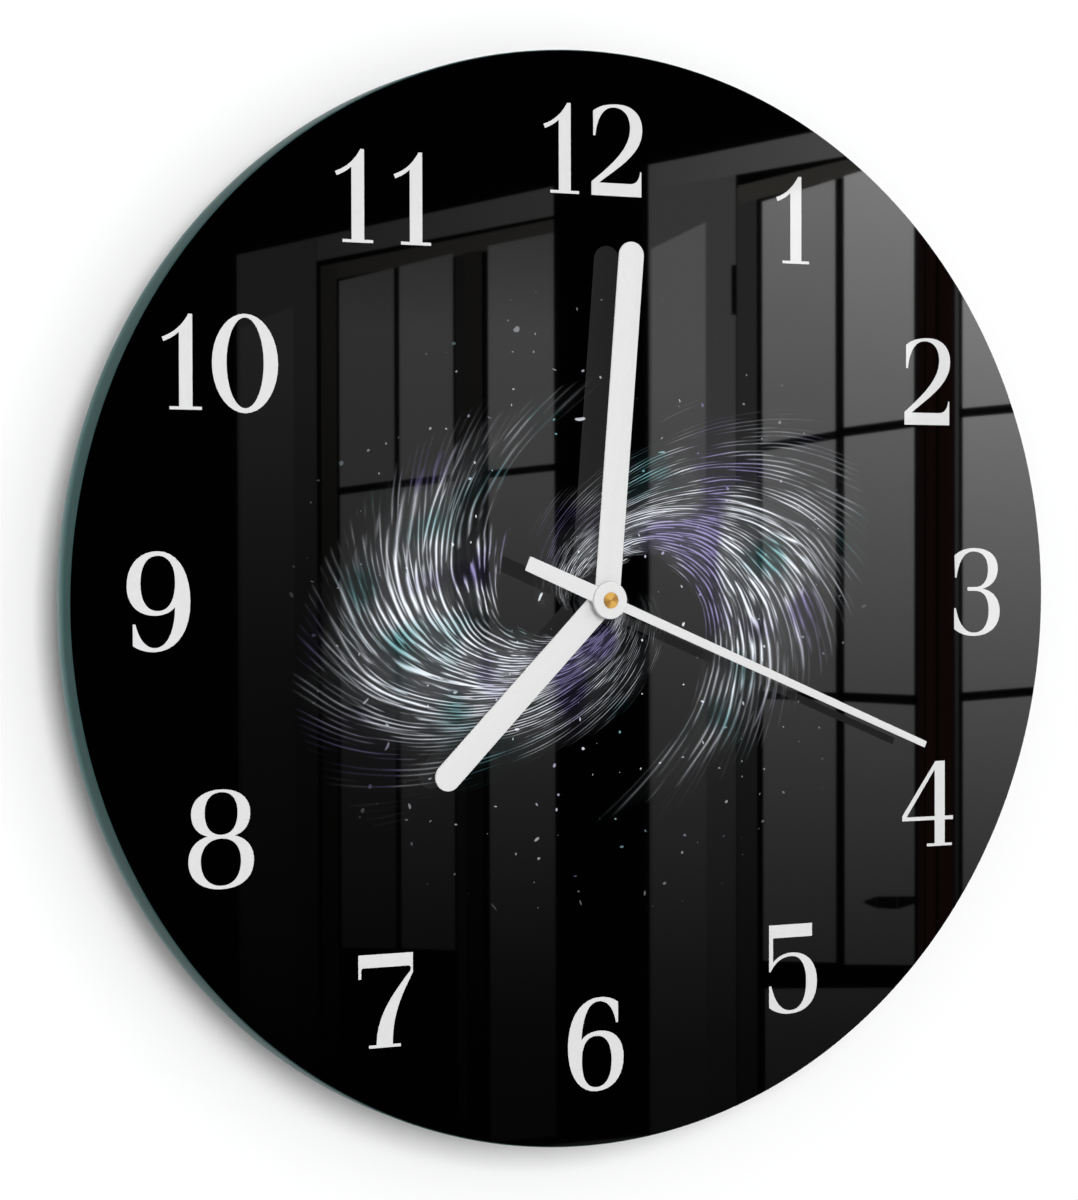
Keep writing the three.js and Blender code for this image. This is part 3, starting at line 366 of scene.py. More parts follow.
def thread_ridge(radius: float, pitch: float, height: float, depth: float, finish: "Finish") -> Mesh:
    """The ridge of a screw thread about the z axis, from z = 0 up.

    Args:
        radius: the outer radius.
        pitch: the rise of one turn.
        height: the thread's length.
        depth: the ridge's depth.
        finish: its finish.

    Returns:
        A closed mesh, with a diamond for its section.
    """
    growing = GrowingTree("thread_ridge", {
        "Radius": radius, "Pitch": pitch, "Height": height, "Depth": depth, "Finish": finish.material(),
    })
    tree, given = growing.tree, growing.given
    ridge, rise = given["Depth"], given["Height"]
    line = add(tree, "SUBTRACT", given["Radius"], ridge)
    turns = add(tree, "DIVIDE", rise, given["Pitch"])
    spiral = add(
        tree, "GeometryNodeCurveSpiral", Resolution=48, Rotations=turns, Start_Radius=line, End_Radius=line,
        Height=rise,
    )
    upright = add(tree, "GeometryNodeSetCurveNormal", mode="Z_UP", Curve=spiral)
    diamond = add(tree, "GeometryNodeCurvePrimitiveCircle", mode="RADIUS", Resolution=4, Radius=ridge)
    return growing.grown(add(tree, "GeometryNodeCurveToMesh", upright, diamond, Fill_Caps=True))


def wound_turns(radius: float, wire: float, length: float, turns: int, finish: "Finish") -> Mesh:
    """Turns of wire side by side along the y axis, about its middle.

    Args:
        radius: the outer radius of the turns.
        wire: the wire's radius.
        length: from the first turn to the last.
        turns: how many there are.
        finish: its finish.

    Returns:
        A mesh of one closed ring for each turn.
    """
    growing = GrowingTree("wound_turns", {
        "Radius": radius, "Wire": wire, "Length": length, "Turns": turns, "Finish": finish.material(),
    })
    tree, given = growing.tree, growing.given
    gaps = add(tree, "SUBTRACT", given["Turns"], 1.0)
    step = add(tree, "CombineXYZ", 0.0, add(tree, "DIVIDE", given["Length"], gaps))
    start = add(tree, "CombineXYZ", 0.0, add(tree, "MULTIPLY", given["Length"], -0.5))
    row = add(
        tree, "GeometryNodeMeshLine", mode="OFFSET", Count=given["Turns"], Start_Location=start, Offset=step,
    )
    middle = add(tree, "SUBTRACT", given["Radius"], given["Wire"])
    turn, section = (
        add(tree, "GeometryNodeCurvePrimitiveCircle", mode="RADIUS", Resolution=facets, Radius=to)
        for facets, to in ((48, middle), (8, given["Wire"]))
    )
    ring = add(tree, "GeometryNodeCurveToMesh", turn, section)
    return growing.grown(add(
        tree, "GeometryNodeInstanceOnPoints", Rotation=(QUARTER, 0, 0), Points=row, Instance=ring,
    ))


# Finishes


@dataclass(frozen=True)
class Finish:
    """What a surface is made of and how it was made."""

    name: str
    colour: str
    roughness: float = 0.5
    metallic: float = 0.0
    ior: float = 1.5

    def material(self) -> Material:
        """Builds the finish's material, or returns the one that was built before."""
        found = bpy.data.materials.get(self.name)
        if found:
            return found
        made = bpy.data.materials.new(self.name)
        tree = emptied(made)
        shader = add(
            tree, "BsdfPrincipled", Base_Color=linear(self.colour), Roughness=self.roughness,
            Metallic=self.metallic, IOR=self.ior,
        )
        add(tree, "OutputMaterial", shader)
        point = add(tree, "TexCoord").outputs["Object"]
        dial = add(tree, "Mapping", point, Rotation=(-QUARTER, 0, 0), Scale=(1 / MM, 1 / MM, 1 / MM))
        self.pattern(tree, shader, dial)
        return made

    def pattern(self, tree: NodeTree, shader: Node, dial: Node) -> None:
        """Adds the pattern of the finish to its shader.

        Args:
            tree: the material's tree.
            shader: its shader.
            dial: the node that gives a point in millimetres in the dial's frame.
        """
        raise NotImplementedError

    def reach(self, tree: NodeTree, dial: Node) -> Node:
        """Adds how far the point lies from the axis of the hands."""
        flat = add(tree, "VectorMath", dial, (1.0, 1.0, 0.0), operation="MULTIPLY")
        return add(tree, "VectorMath", flat, operation="LENGTH")


@dataclass(frozen=True)
class GrainedFinish(Finish):
    """A finish whose colour, gloss and height vary with one grain, whose size is in millimetres."""

    grain: float = 1.0
    stretch: Point = (1.0, 1.0, 1.0)
    second_colour: str = "#808080"
    share: float = 0.5
    roughness_span: float = 0.08
    height: float = 0.02

    def pattern(self, tree: NodeTree, shader: Node, dial: Node) -> None:
        """Varies the colour towards the second one, the gloss about its middle, and the height."""
        point = add(tree, "Mapping", dial, Scale=self.stretch)
        noise = add(tree, "TexNoise", point, Scale=1 / self.grain, Detail=4.0, Roughness=0.6)
        amount = add(tree, "MapRange", noise, *PATCHES, 0.0, self.share)
        mix = add(
            tree, "Mix", amount, data_type="RGBA", A_Color=linear(self.colour),
            B_Color=linear(self.second_colour),
        )
        low, high = max(0.0, self.roughness - self.roughness_span), self.roughness + self.roughness_span
        gloss = add(tree, "MapRange", noise, *MOST, low, high)
        bump = add(tree, "Bump", Strength=0.6, Distance=self.height * MM, Height=noise)
        feed(shader, Base_Color=mix, Roughness=gloss, Normal=bump)


@dataclass(frozen=True)
class ClearFloatGlass(Finish):
    """Clear float glass, faintly green, with the odd wipe mark."""

    mark_pitch: float = 40.0
    mark_roughness: float = 0.06

    def pattern(self, tree: NodeTree, shader: Node, dial: Node) -> None:
        """Lets light through, and varies the gloss by the wipe marks."""
        marks = add(tree, "TexNoise", dial, Scale=1 / self.mark_pitch, Detail=3.0)
        gloss = add(tree, "MapRange", marks, *BRIGHTEST, 0.0, self.mark_roughness)
        feed(shader, Transmission_Weight=1.0, Roughness=gloss)


@dataclass(frozen=True)
class GroundGlassEdge(Finish):
    """The ground and polished rim of the glass, where its green depth shows, under a painted reflection of
    the lit wall.
    """

    # The glass's green from the wall side to the front, with a painted reflection of the lit wall in the
    # paler ones
    tones: tuple[tuple[float, str], ...] = (
        (0.08, "#869696"), (0.33, "#5A7575"), (0.62, "#32524F"), (0.95, "#374E4D"),
    )
    low: float = 18.1
    high: float = 28.1
    radius: float = 150.0
    # How far the painted reflection narrows away from the dial's middle height, and the height where it is
    # narrowest
    narrowing: float = 0.26
    narrowed_at: float = 62.0
    mark_length: float = 6.0
    mark_width: float = 0.25
    mark_depth: float = 0.01
    mark_tones: tuple[float, float] = (0.86, 1.12)

    def pattern(self, tree: NodeTree, shader: Node, dial: Node) -> None:
        """Runs the colours across the rim, with fine marks of the wheel along it.

        The colours are the glass's green under a painted reflection of the lit wall. It is palest at
        the wall side, and painted widest level with the dial's middle, where the light falls most on the rim.
        """
        x, y, z = add(tree, "SeparateXYZ", dial).outputs
        across = add(tree, "MapRange", z, self.low, self.high)
        height = add(tree, "ABSOLUTE", y)
        # Painted light: the pale painted reflection narrows above and below the dial's middle
        painted_reflection_shift = add(tree, "MapRange", height, 0.0, self.narrowed_at, 0.0, self.narrowing)
        place = add(tree, "ADD", across, painted_reflection_shift)
        ramp = add(tree, "ValToRGB", place, stops=self.tones)
        turn = add(tree, "ARCTAN2", y, x)
        along = add(tree, "MULTIPLY", turn, self.radius / self.mark_length)
        over = add(tree, "MULTIPLY", z, 1 / self.mark_width)
        point = add(tree, "CombineXYZ", along, over)
        marks = add(tree, "TexNoise", point, Scale=1.0, Detail=3.0)
        share = add(tree, "MapRange", marks, *MOST, *self.mark_tones)
        colour = add(tree, "VectorMath", ramp, operation="SCALE", Scale=share)
        bump = add(tree, "Bump", Strength=0.4, Distance=self.mark_depth * MM, Height=marks)
        feed(shader, Base_Color=colour, Normal=bump)


@dataclass(frozen=True)
class StrandSwirl:
    """Fine strands of the printed design, which wind out from the middle of the dial in arms.

    Lengths are in millimetres. Twist is how far, in radians, an arm turns while its distance from
    the middle grows by a factor of e. Spread is the share of the way round that the arms fill.
    Light comes up to full times inner, and goes from fading times outer. Drift is how fast the
    noise that moves arms and strands changes along and across them, and wander and arm_wander are
    how far it does, in radians of their waves. Flicker is how fast the noise that lights a strand
    changes along it, and flicker_strands is how many strands it takes together. Where that noise
    runs over flare_at, the light runs over flare.
    """

    arms: int
    strands: int
    twist: float
    inner: float
    outer: float
    spread: float
    seed: float
    light: float = 1.0
    thinness: float = 2.4
    full: float = 2.2
    fading: float = 0.5
    drift: tuple[float, float] = (1.3, 1.1)
    wander: float = 24.0
    arm_wander: float = 3.0
    flicker: float = 5.0
    flicker_strands: float = 9.0
    flare_at: tuple[float, float] = (0.45, 0.68)
    flare: tuple[float, float] = (0.03, 3.6)
    glow: float = 0.04


@dataclass(frozen=True)
class LacqueredPrint(Finish):
    """Black ink with a swirl of silver strands and dust in it, under a clear gloss lacquer."""

    silver: str = "#E4E8F0"
    violet: str = "#8C84B4"
    teal: str = "#7AAEB2"
    tint_size: float = 26.0
    turn: float = 24.0
    squash: float = 0.68
    swirls: tuple[StrandSwirl, ...] = (
        StrandSwirl(2, 96, 1.5, 8.0, 86.0, 0.55, 1.7, 1.5),
        StrandSwirl(2, 168, 1.35, 14.0, 94.0, 0.75, 5.1, 0.6),
    )
    dust_pitch: float = 6.5
    dust_stray: float = 8.0
    dust_stray_size: float = 9.0
    dust_rarity: float = 0.55
    dust_size: float = 0.085
    dust_edge: float = 0.02
    dust_reach: tuple[float, float] = (34.0, 92.0)
    dust_light: float = 0.8

    def pattern(self, tree: NodeTree, shader: Node, dial: Node) -> None:
        """Draws the swirls and the dust, and tints them."""
        light = self._dust(tree, dial)
        for swirl in self.swirls:
            light = add(tree, "ADD", light, self._strands(tree, dial, swirl))
        light = add(tree, "MINIMUM", light, 1.0)
        tint = add(tree, "TexNoise", dial, Scale=1 / self.tint_size, Detail=1.0)
        stops = ((0.36, self.violet), (0.46, self.silver), (0.56, self.silver), (0.66, self.teal))
        ramp = add(tree, "ValToRGB", tint, stops=stops)
        mix = add(tree, "Mix", light, data_type="RGBA", A_Color=linear(self.colour), B_Color=ramp)
        feed(shader, Base_Color=mix)

    def _strands(self, tree: NodeTree, dial: Node, swirl: StrandSwirl) -> Node:
        """Draws one set of strands that wind outward and fade at both ends.

        Args:
            tree: the material's tree.
            dial: the node that gives a point in millimetres.
            swirl: the set's sizes.

        Returns:
            The node that gives its brightness.
        """
        moved = add(
            tree, "Mapping", dial, vector_type="TEXTURE", Rotation=(0, 0, math.radians(self.turn)),
            Scale=(1.0, self.squash, 1.0),
        )
        x, y, _ = add(tree, "SeparateXYZ", moved).outputs
        wide, high = (add(tree, "MULTIPLY", way, way) for way in (x, y))
        reach = add(tree, "SQRT", add(tree, "ADD", wide, high))
        growth = add(tree, "LOGARITHM", add(tree, "MAXIMUM", reach, 1.0), math.e)
        twist = add(tree, "MULTIPLY", growth, swirl.twist)
        turned = add(tree, "ADD", add(tree, "ARCTAN2", y, x), twist)
        # Noise drawn out along the strands, on a ring so that it meets itself all the way round
        ring = add(tree, "CombineXYZ", growth, add(tree, "COSINE", turned), add(tree, "SINE", turned))
        noises = []
        for along, across in (swirl.drift, (swirl.flicker, swirl.strands / swirl.flicker_strands)):
            point = add(tree, "Mapping", ring, Scale=(along, across, across), Location=(0, 0, swirl.seed))
            noises.append(add(tree, "TexNoise", point, Scale=1.0, Detail=2.5))
        drift, flicker = noises
        waves = []
        for count, wander in ((swirl.strands / 2, swirl.wander), (swirl.arms, swirl.arm_wander)):
            even = add(tree, "MULTIPLY", turned, count)
            waves.append(add(tree, "ADD", even, add(tree, "MULTIPLY", drift, wander)))
        line = add(tree, "ABSOLUTE", add(tree, "SINE", waves[0]))
        thin = add(tree, "POWER", add(tree, "SUBTRACT", 1.0, line), swirl.thinness)
        flare = add(tree, "MapRange", flicker, *swirl.flare_at, *swirl.flare)
        arm = add(tree, "COSINE", waves[1])
        body = add(tree, "MapRange", arm, 1 - 2 * swirl.spread)
        start = add(tree, "MapRange", reach, swirl.inner, swirl.inner * swirl.full)
        end = add(tree, "MapRange", reach, swirl.outer * swirl.fading, swirl.outer, 1.0, 0.0)
        held = add(tree, "MULTIPLY", body, add(tree, "MULTIPLY", start, end))
        bright = add(tree, "MULTIPLY", add(tree, "MULTIPLY", thin, flare), held)
        glow = add(tree, "MULTIPLY", held, swirl.glow)
        return add(tree, "MULTIPLY", add(tree, "ADD", bright, glow), swirl.light)

    def _dust(self, tree: NodeTree, dial: Node) -> Node:
        """Scatters small bright grains about the middle of the dial.

        Args:
            tree: the material's tree.
            dial: the node that gives a point in millimetres.

        Returns:
            The node that gives their brightness.
        """
        stray = add(tree, "TexNoise", dial, Scale=1 / self.dust_stray_size, Detail=1.0)
        offset = add(tree, "VectorMath", stray.outputs["Color"], operation="SCALE", Scale=self.dust_stray)
        cells = add(
            tree, "TexVoronoi", add(tree, "VectorMath", dial, offset, operation="ADD"),
            voronoi_dimensions="2D", Scale=1 / self.dust_pitch,
        )
        chance = add(tree, "SeparateXYZ", cells.outputs["Color"])
        size = add(tree, "MapRange", chance, self.dust_rarity, 1.0, 0.0, self.dust_size)
        near = add(tree, "SUBTRACT", size, cells)
        grain = add(tree, "MapRange", near, 0.0, self.dust_edge)
        veil = add(tree, "MapRange", self.reach(tree, dial), *self.dust_reach, self.dust_light, 0.0)
        return add(tree, "MULTIPLY", grain, veil)


@dataclass(frozen=True)
class TurnedMetal(Finish):
    """Metal turned on a lathe, with the tool's rings about the axis of the hands and a painted sheen in fans
    about that axis.
    """

    ring_pitch: float = 0.12
    ring_depth: float = 0.004
    # The painted sheen: its dark colour, the most of it that is mixed in, and where in each fan it starts
    dark: str = "#8E611C"
    dark_share: float = 0.75
    dark_from: float = -0.6
    fans: float = 2.0
    fan_turn: float = 0.7

    def pattern(self, tree: NodeTree, shader: Node, dial: Node) -> None:
        """Draws the rings as bumps, and paints a sheen into the colour that darkens it in sectors about the
        axis.
        """
        x, y, _ = add(tree, "SeparateXYZ", dial).outputs
        rings = add(tree, "MULTIPLY", self.reach(tree, dial), math.tau / self.ring_pitch)
        turn = add(tree, "ARCTAN2", y, x)
        fans = add(tree, "SINE", add(tree, "MULTIPLY_ADD", turn, self.fans, self.fan_turn))
        amount = add(tree, "MapRange", fans, self.dark_from, 1.0, 0.0, self.dark_share)
        mix = add(
            tree, "Mix", amount, data_type="RGBA", A_Color=linear(self.colour), B_Color=linear(self.dark),
        )
        bump = add(tree, "Bump", Strength=0.5, Distance=self.ring_depth * MM, Height=add(tree, "SINE", rings))
        feed(shader, Anisotropic=0.5, Base_Color=mix, Normal=bump)


# Float glass as it is cut: water clear through its thickness, green at the rim
CLEAR_GLASS = ClearFloatGlass("clear_float_glass", "#E6F2EE", 0.0, 0.0, 1.52)
# The rim's colours hold a painted reflection of the lit wall, palest at the wall side and at mid height
GLASS_RIM = GroundGlassEdge("ground_float_glass_rim", "#548181", 0.28, 0.0, 1.05)
# Ultraviolet-cured ink under lacquer: deep black that mirrors the room
PRINT = LacqueredPrint("lacquered_black_print", "#010101", 0.015)
# The first coat of ink, which is what shows of the print from behind, through the glass
BASE_COAT = GrainedFinish(
    "screened_black_base_coat", "#060607", 0.55, grain=1.2, second_colour="#0B0B0C", height=0.004,
)
# White ink in the same print, so it has the same gloss
NUMERAL_INK = GrainedFinish(
    "lacquered_white_ink", "#D3D3D3", 0.03, grain=2.0, second_colour="#CDCDCF", roughness_span=0.015,
    height=0.001,
)
# Stove-enamelled aluminium: an even satin white with a faint orange peel of about 0.5 mm
HAND_PAINT = GrainedFinish(
    "stoved_white_paint", "#D6D6D6", 0.42, grain=0.5, second_colour="#CFCFCF", share=0.6, height=0.006,
)
# Brass bar turned on a lathe: yellow, with fine rings, and a painted sheen that darkens it in fans
TURNED_BRASS = TurnedMetal("turned_brass", "#F2BE62", 0.24, 0.45)
# Phosphated and oiled steel: near black, with a dull broken sheen
BLACK_STEEL = GrainedFinish(
    "blackened_steel", "#26272A", 0.38, 0.6, grain=0.35, second_colour="#3A3B3E", height=0.008,
)
# Rolled steel strip, zinc plated: a bluish white with rolling lines 0.3 mm apart
ZINC_STEEL = GrainedFinish(
    "zinc_plated_steel", "#C4C8CC", 0.3, 1.0, grain=0.3, stretch=(1.0, 0.06, 1.0), second_colour="#9EA3A9",
    height=0.006,
)
# Black ABS out of a spark-eroded mould: a matt grain of 0.3 mm
CASE_ABS = GrainedFinish(
    "moulded_black_abs", "#2C2C2F", 0.48, grain=0.3, second_colour="#38383C", share=0.7, height=0.02,
)
# Dark grey ABS from such a mould, rubbed a little smoother by fingers
KNOB_ABS = GrainedFinish(
    "moulded_grey_abs", "#2B2C2F", 0.42, grain=0.3, second_colour="#3A3B3F", share=0.6, height=0.012,
)
# Natural acetal gears: milky and waxy
ACETAL = GrainedFinish(
    "moulded_natural_acetal", "#ECE9DF", 0.36, grain=1.4, second_colour="#DDD9CB", share=0.6, height=0.004,
)
# Nitrile rubber out of a plain mould: a dull black that takes up the light
RUBBER = GrainedFinish(
    "moulded_nitrile_rubber", "#1A1A1A", 0.75, grain=0.4, second_colour="#242424", height=0.015,
)
# Bonded ferrite, ground to size: a flat dark grey
MAGNET = GrainedFinish(
    "ground_bonded_ferrite", "#37383B", 0.5, 0.2, grain=0.15, second_colour="#4A4B4E", height=0.01,
)
# Soft iron stamped from strip: mid grey, with the long grain of the rolling
SOFT_IRON = GrainedFinish(
    "stamped_soft_iron", "#8E8F92", 0.4, 1.0, grain=0.5, stretch=(0.1, 1.0, 1.0), second_colour="#77787C",
    height=0.006,
)
# Copper wire in clear enamel: a deep orange shine
COPPER = GrainedFinish(
    "enamelled_copper_wire", "#B4602E", 0.28, 0.9, grain=0.6, second_colour="#8F4520", height=0.004,
)
# Glass-fibre board under solder mask: a waxy green, uneven over the weave
BOARD = GrainedFinish(
    "solder_masked_board", "#1E5A38", 0.35, grain=2.2, second_colour="#2D7048", share=0.8, height=0.012,
)
# Resin poured over the chip: a smooth black blob
RESIN = GrainedFinish("poured_black_resin", "#121214", 0.25, grain=0.8, second_colour="#1D1D20", height=0.02)
# Shrunk film on the cell: a smooth pale grey with a dark band at the plus end
CELL_WRAP = GrainedFinish("shrunk_pale_film", "#A9AFB5", 0.3, grain=3.0, second_colour="#9BA1A8", height=0.01)
CELL_RING = GrainedFinish(
    "shrunk_dark_film", "#3C4A5C", 0.28, grain=3.0, second_colour="#344152", height=0.01,
)


# Putting pieces in the frame


def piece(name: str, mesh: Mesh, body: str, slot: str, finishes: list[Finish], *nodes: str) -> Object:
    """Makes a piece of a mesh drawn in the dial's frame, and gives it to its body.

    Args:
        name: the piece's name.
        mesh: its mesh, in millimetres in the dial's frame.
        body: the CAD body it moves with.
        slot: the record's material slot it would take its finish from; not used.
        finishes: its finishes, in the order of its faces' material numbers.
        *nodes: the CAD nodes it stands for.

    Returns:
        The piece.
    """
    mesh.name = name
    mesh.transform(DIAL_TO_ROW)
    for finish in finishes[len(mesh.materials) :]:
        mesh.materials.append(finish.material())
    made = placed(name, mesh)
    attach(made, body)
    if nodes:
        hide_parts(*nodes)
    LOG.info("%s: %d faces, rides on %s", name, len(mesh.polygons), body)
    return made


def dress(finish: Finish, *nodes: str) -> None:
    """Gives CAD nodes, whose shape is kept, their finish."""
    for name in nodes:
        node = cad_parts[name]
        if not node.material_slots:
            node.data.materials.append(None)
        for held in node.material_slots:
            held.material = finish.material()
        LOG.info("%s: dressed in %s", name, finish.name)


def dial_box(node: str) -> tuple[Vector, Vector]:
    """A CAD node's lowest and highest corner in the dial's frame, in millimetres."""
    first, last = (DIAL_TO_ROW.inverted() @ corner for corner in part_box(node))
    return Vector(map(min, first, last)), Vector(map(max, first, last))


# Glass, print and numerals


class Digit(Enum):
    """Outlines of the dial's digits, in millimetres from the baseline and the digit's middle."""

    ZERO = (
        "M 0 25.05 C 5.06 25.05 9.17 19.3 9.17 12.2 C 9.17 5.1 5.06 -.65 0 -.65 "
        "C -5.06 -.65 -9.17 5.1 -9.17 12.2 C -9.17 19.3 -5.06 25.05 0 25.05 Z M 0 24.1 "
        "C 2.84 24.1 5.15 18.84 5.15 12.35 C 5.15 5.86 2.84 .6 0 .6 C -2.84 .6 -5.15 5.86 -5.15 12.35 "
        "C -5.15 18.84 -2.84 24.1 0 24.1 Z"
    )
    ONE = (
        "M -2.9 0 H 5.9 V .8 H 3.35 V 24.6 H 2.3 C 1.0 22.4 -0.9 19.9 -4.95 18.5 L -4.5 17.4 "
        "C -2.7 18.1 -1.4 18.9 -0.3 19.9 V .8 H -2.9 Z"
    )
    TWO = (
        "M -8 0 H 7.55 V 6.9 H 7.2 C 6.9 4.7 5.9 3.5 3.9 3.5 H -5.6 C -1.6 6.6 3.3 9.2 6.2 13.3 "
        "C 7.3 15 7.85 16.5 7.85 18.5 C 7.85 22.6 4.9 25.1 0.3 25.1 C -3.4 25.1 -5.8 24.3 -7.45 23 V 16.3 "
        "H -6.8 C -6.3 20.9 -4.4 24.2 -1 24.2 C 2.3 24.2 4.05 22 4.05 18.6 C 4.05 12.9 -2.6 7.9 -8 3.7 Z"
    )
    THREE = (
        "M -7.5 23.6 C -5.8 24.9 -3.6 25.7 -0.6 25.7 C 4.6 25.7 7.8 23.4 7.8 19.7 "
        "C 7.8 16.7 5.8 14.5 2.5 13.8 C 6.3 13.1 8.5 10.6 8.5 7.2 C 8.5 2.9 5.2 0 -0.6 0 "
        "C -3.6 0 -5.9 0.8 -7.6 2.1 V 8.2 H -7 C -6.2 4 -4 0.95 -0.6 0.95 C 2.7 0.95 4.55 3.5 4.55 7.5 "
        "C 4.55 11.2 2.8 13.2 -0.3 13.2 H -2.9 V 14.3 H -0.3 C 2.7 14.3 4.3 16.2 4.3 19.5 "
        "C 4.3 22.8 2.4 24.7 -0.9 24.7 C -4 24.7 -6 22 -6.8 17.1 H -7.3 Z"
    )
    FOUR = (
        "M -0.2 0 H 8.5 V .8 H 6 V 7.6 H 8.9 V 8.7 H 6 V 24.75 H 2.75 L -8.75 9.1 V 7.6 H 2.5 V .8 H -0.2 Z "
        "M -7.3 8.7 L 2.5 22.4 V 8.7 Z"
    )
    FIVE = (
        "M -7.5 25.25 H 6.75 V 21.55 H -6.2 V 14.7 C -4.4 16.4 -2.5 17.2 0 17.2 C 5.2 17.2 8.4 13.9 8.4 8.7 "
        "C 8.4 3.2 5 -0.15 -0.7 -0.15 C -3.5 -0.15 -5.8 0.6 -7.5 1.9 V 8 H -6.8 C -5.7 3.6 -3.6 0.8 -0.5 0.8 "
        "C 2.9 0.8 4.8 3.8 4.8 8.8 C 4.8 13.4 3 16.2 0 16.2 C -2.9 16.2 -5.4 15 -7 12 H -7.5 Z"
    )
    SIX = (
        "M 7.05 23.8 C 5.6 24.9 3.8 25.5 1.5 25.5 C -4.6 25.5 -8.55 20.4 -8.55 12.2 "
        "C -8.55 4.6 -5.3 -0.35 0.3 -0.35 C 5.5 -0.35 8.75 3.2 8.75 8.7 C 8.75 13.2 6 16.25 1.4 16.25 "
        "C -1 16.25 -3 15.6 -4.4 14 C -4 20.2 -2.2 24.4 1 24.4 C 3.9 24.4 5.6 22.2 6.4 18.2 H 7.05 Z "
        "M 0.3 14.9 C 3.4 14.9 5 12.2 5 7.9 C 5 3.4 3.3 0.75 0.3 0.75 C -2.8 0.75 -4.25 3.5 -4.25 8.3 "
        "C -4.25 12.5 -2.8 14.9 0.3 14.9 Z"
    )
    SEVEN = (
        "M -4.8 0 H 4.45 V .8 H 2.1 C 2.1 8.4 4.3 12.9 8.05 19.6 V 24.9 H -7.8 V 18.5 H -7 V 20.6 "
        "C -7 21.2 -6.8 21.4 -6.2 21.4 H 6.6 C 7.5 21.4 7.7 20.5 7.1 19.8 C 2.2 14.2 -2.6 8.6 -2.6 .8 H -4.8 "
        "Z"
    )
    EIGHT = (
        "M 0 25.75 C 4.9 25.75 8 23.4 8 19.6 C 8 16.4 6.4 14.4 3.7 13.7 C 7 12.9 9 10.6 9 7.2 "
        "C 9 2.7 5.6 -0.1 0 -0.1 C -5.6 -0.1 -9.1 2.7 -9.1 7.2 C -9.1 10.6 -7.1 12.9 -3.8 13.7 "
        "C -6.6 14.4 -8.3 16.4 -8.3 19.6 C -8.3 23.4 -4.9 25.75 0 25.75 Z M 0 25.05 "
        "C 2.9 25.05 4.5 23 4.5 19.7 C 4.5 16.1 2.9 14 0 14 C -2.9 14 -4.6 16.1 -4.6 19.7 "
        "C -4.6 23 -2.9 25.05 0 25.05 Z M 0 13.05 C 3.4 13.05 5.4 10.8 5.4 7.2 C 5.4 3.2 3.4 .8 0 .8 "
        "C -3.4 .8 -5.7 3.2 -5.7 7.2 C -5.7 10.8 -3.4 13.05 0 13.05 Z"
    )
    NINE = (
        "M -0.1 25.55 C 5.2 25.55 8.7 20.3 8.7 12.6 C 8.7 4.6 4.7 -0.25 -1.3 -0.25 "
        "C -3.4 -0.25 -5.4 0.4 -6.9 1.4 V 6.9 H -6.2 C -5.2 2.9 -3.4 0.8 -0.9 0.8 C 2.4 0.8 4.4 5 4.55 11.2 "
        "C 3.2 9.8 1.4 9.05 -0.9 9.05 C -5.6 9.05 -8.5 12.1 -8.5 16.6 C -8.5 22 -5.2 25.55 -0.1 25.55 Z "
        "M -0.1 24.4 C 2.9 24.4 4.55 21.8 4.55 17.6 C 4.55 13 2.9 10.25 -0.1 10.25 "
        "C -3.2 10.25 -4.8 12.9 -4.8 17.3 C -4.8 21.7 -3.1 24.4 -0.1 24.4 Z"
    )

    def outlines(self, x: float, y: float, steps: int = 9) -> list[Outline]:
        """Reads the digit's outlines.

        Args:
            x: where the digit's middle goes.
            y: where its baseline goes.
            steps: the facets of each curve.

        Returns:
            One list of points for each closed outline.
        """
        found: list[Outline] = []
        for word, numbers in re.findall(r"([MLHVCZ])([^MLHVCZ]*)", self.value):
            given = [float(number) for number in numbers.split()]
            if word == "M":
                found.append([])
            here = found[-1][-1] if found[-1] else (0.0, 0.0)
            if word == "C":
                points = [Vector(here), *(Vector(given[k : k + 2]) for k in (0, 2, 4))]
                for k in range(1, steps + 1):
                    s = k / steps
                    weights = ((1 - s) ** 3, 3 * s * (1 - s) ** 2, 3 * s**2 * (1 - s), s**3)
                    point = sum((p * w for p, w in zip(points, weights)), Vector((0, 0)))
                    found[-1].append((point.x, point.y))
            elif word != "Z":
                across = here[0] if word == "V" else given[0]
                found[-1].append((across, here[1] if word == "H" else given[-1]))
        gaps = [(Vector(line[0]) - Vector(line[-1])).length for line in found]
        closed = [line[:-1] if gap < SAME_POINT else line for line, gap in zip(found, gaps)]
        return [[(px + x, py + y) for px, py in line] for line in closed]


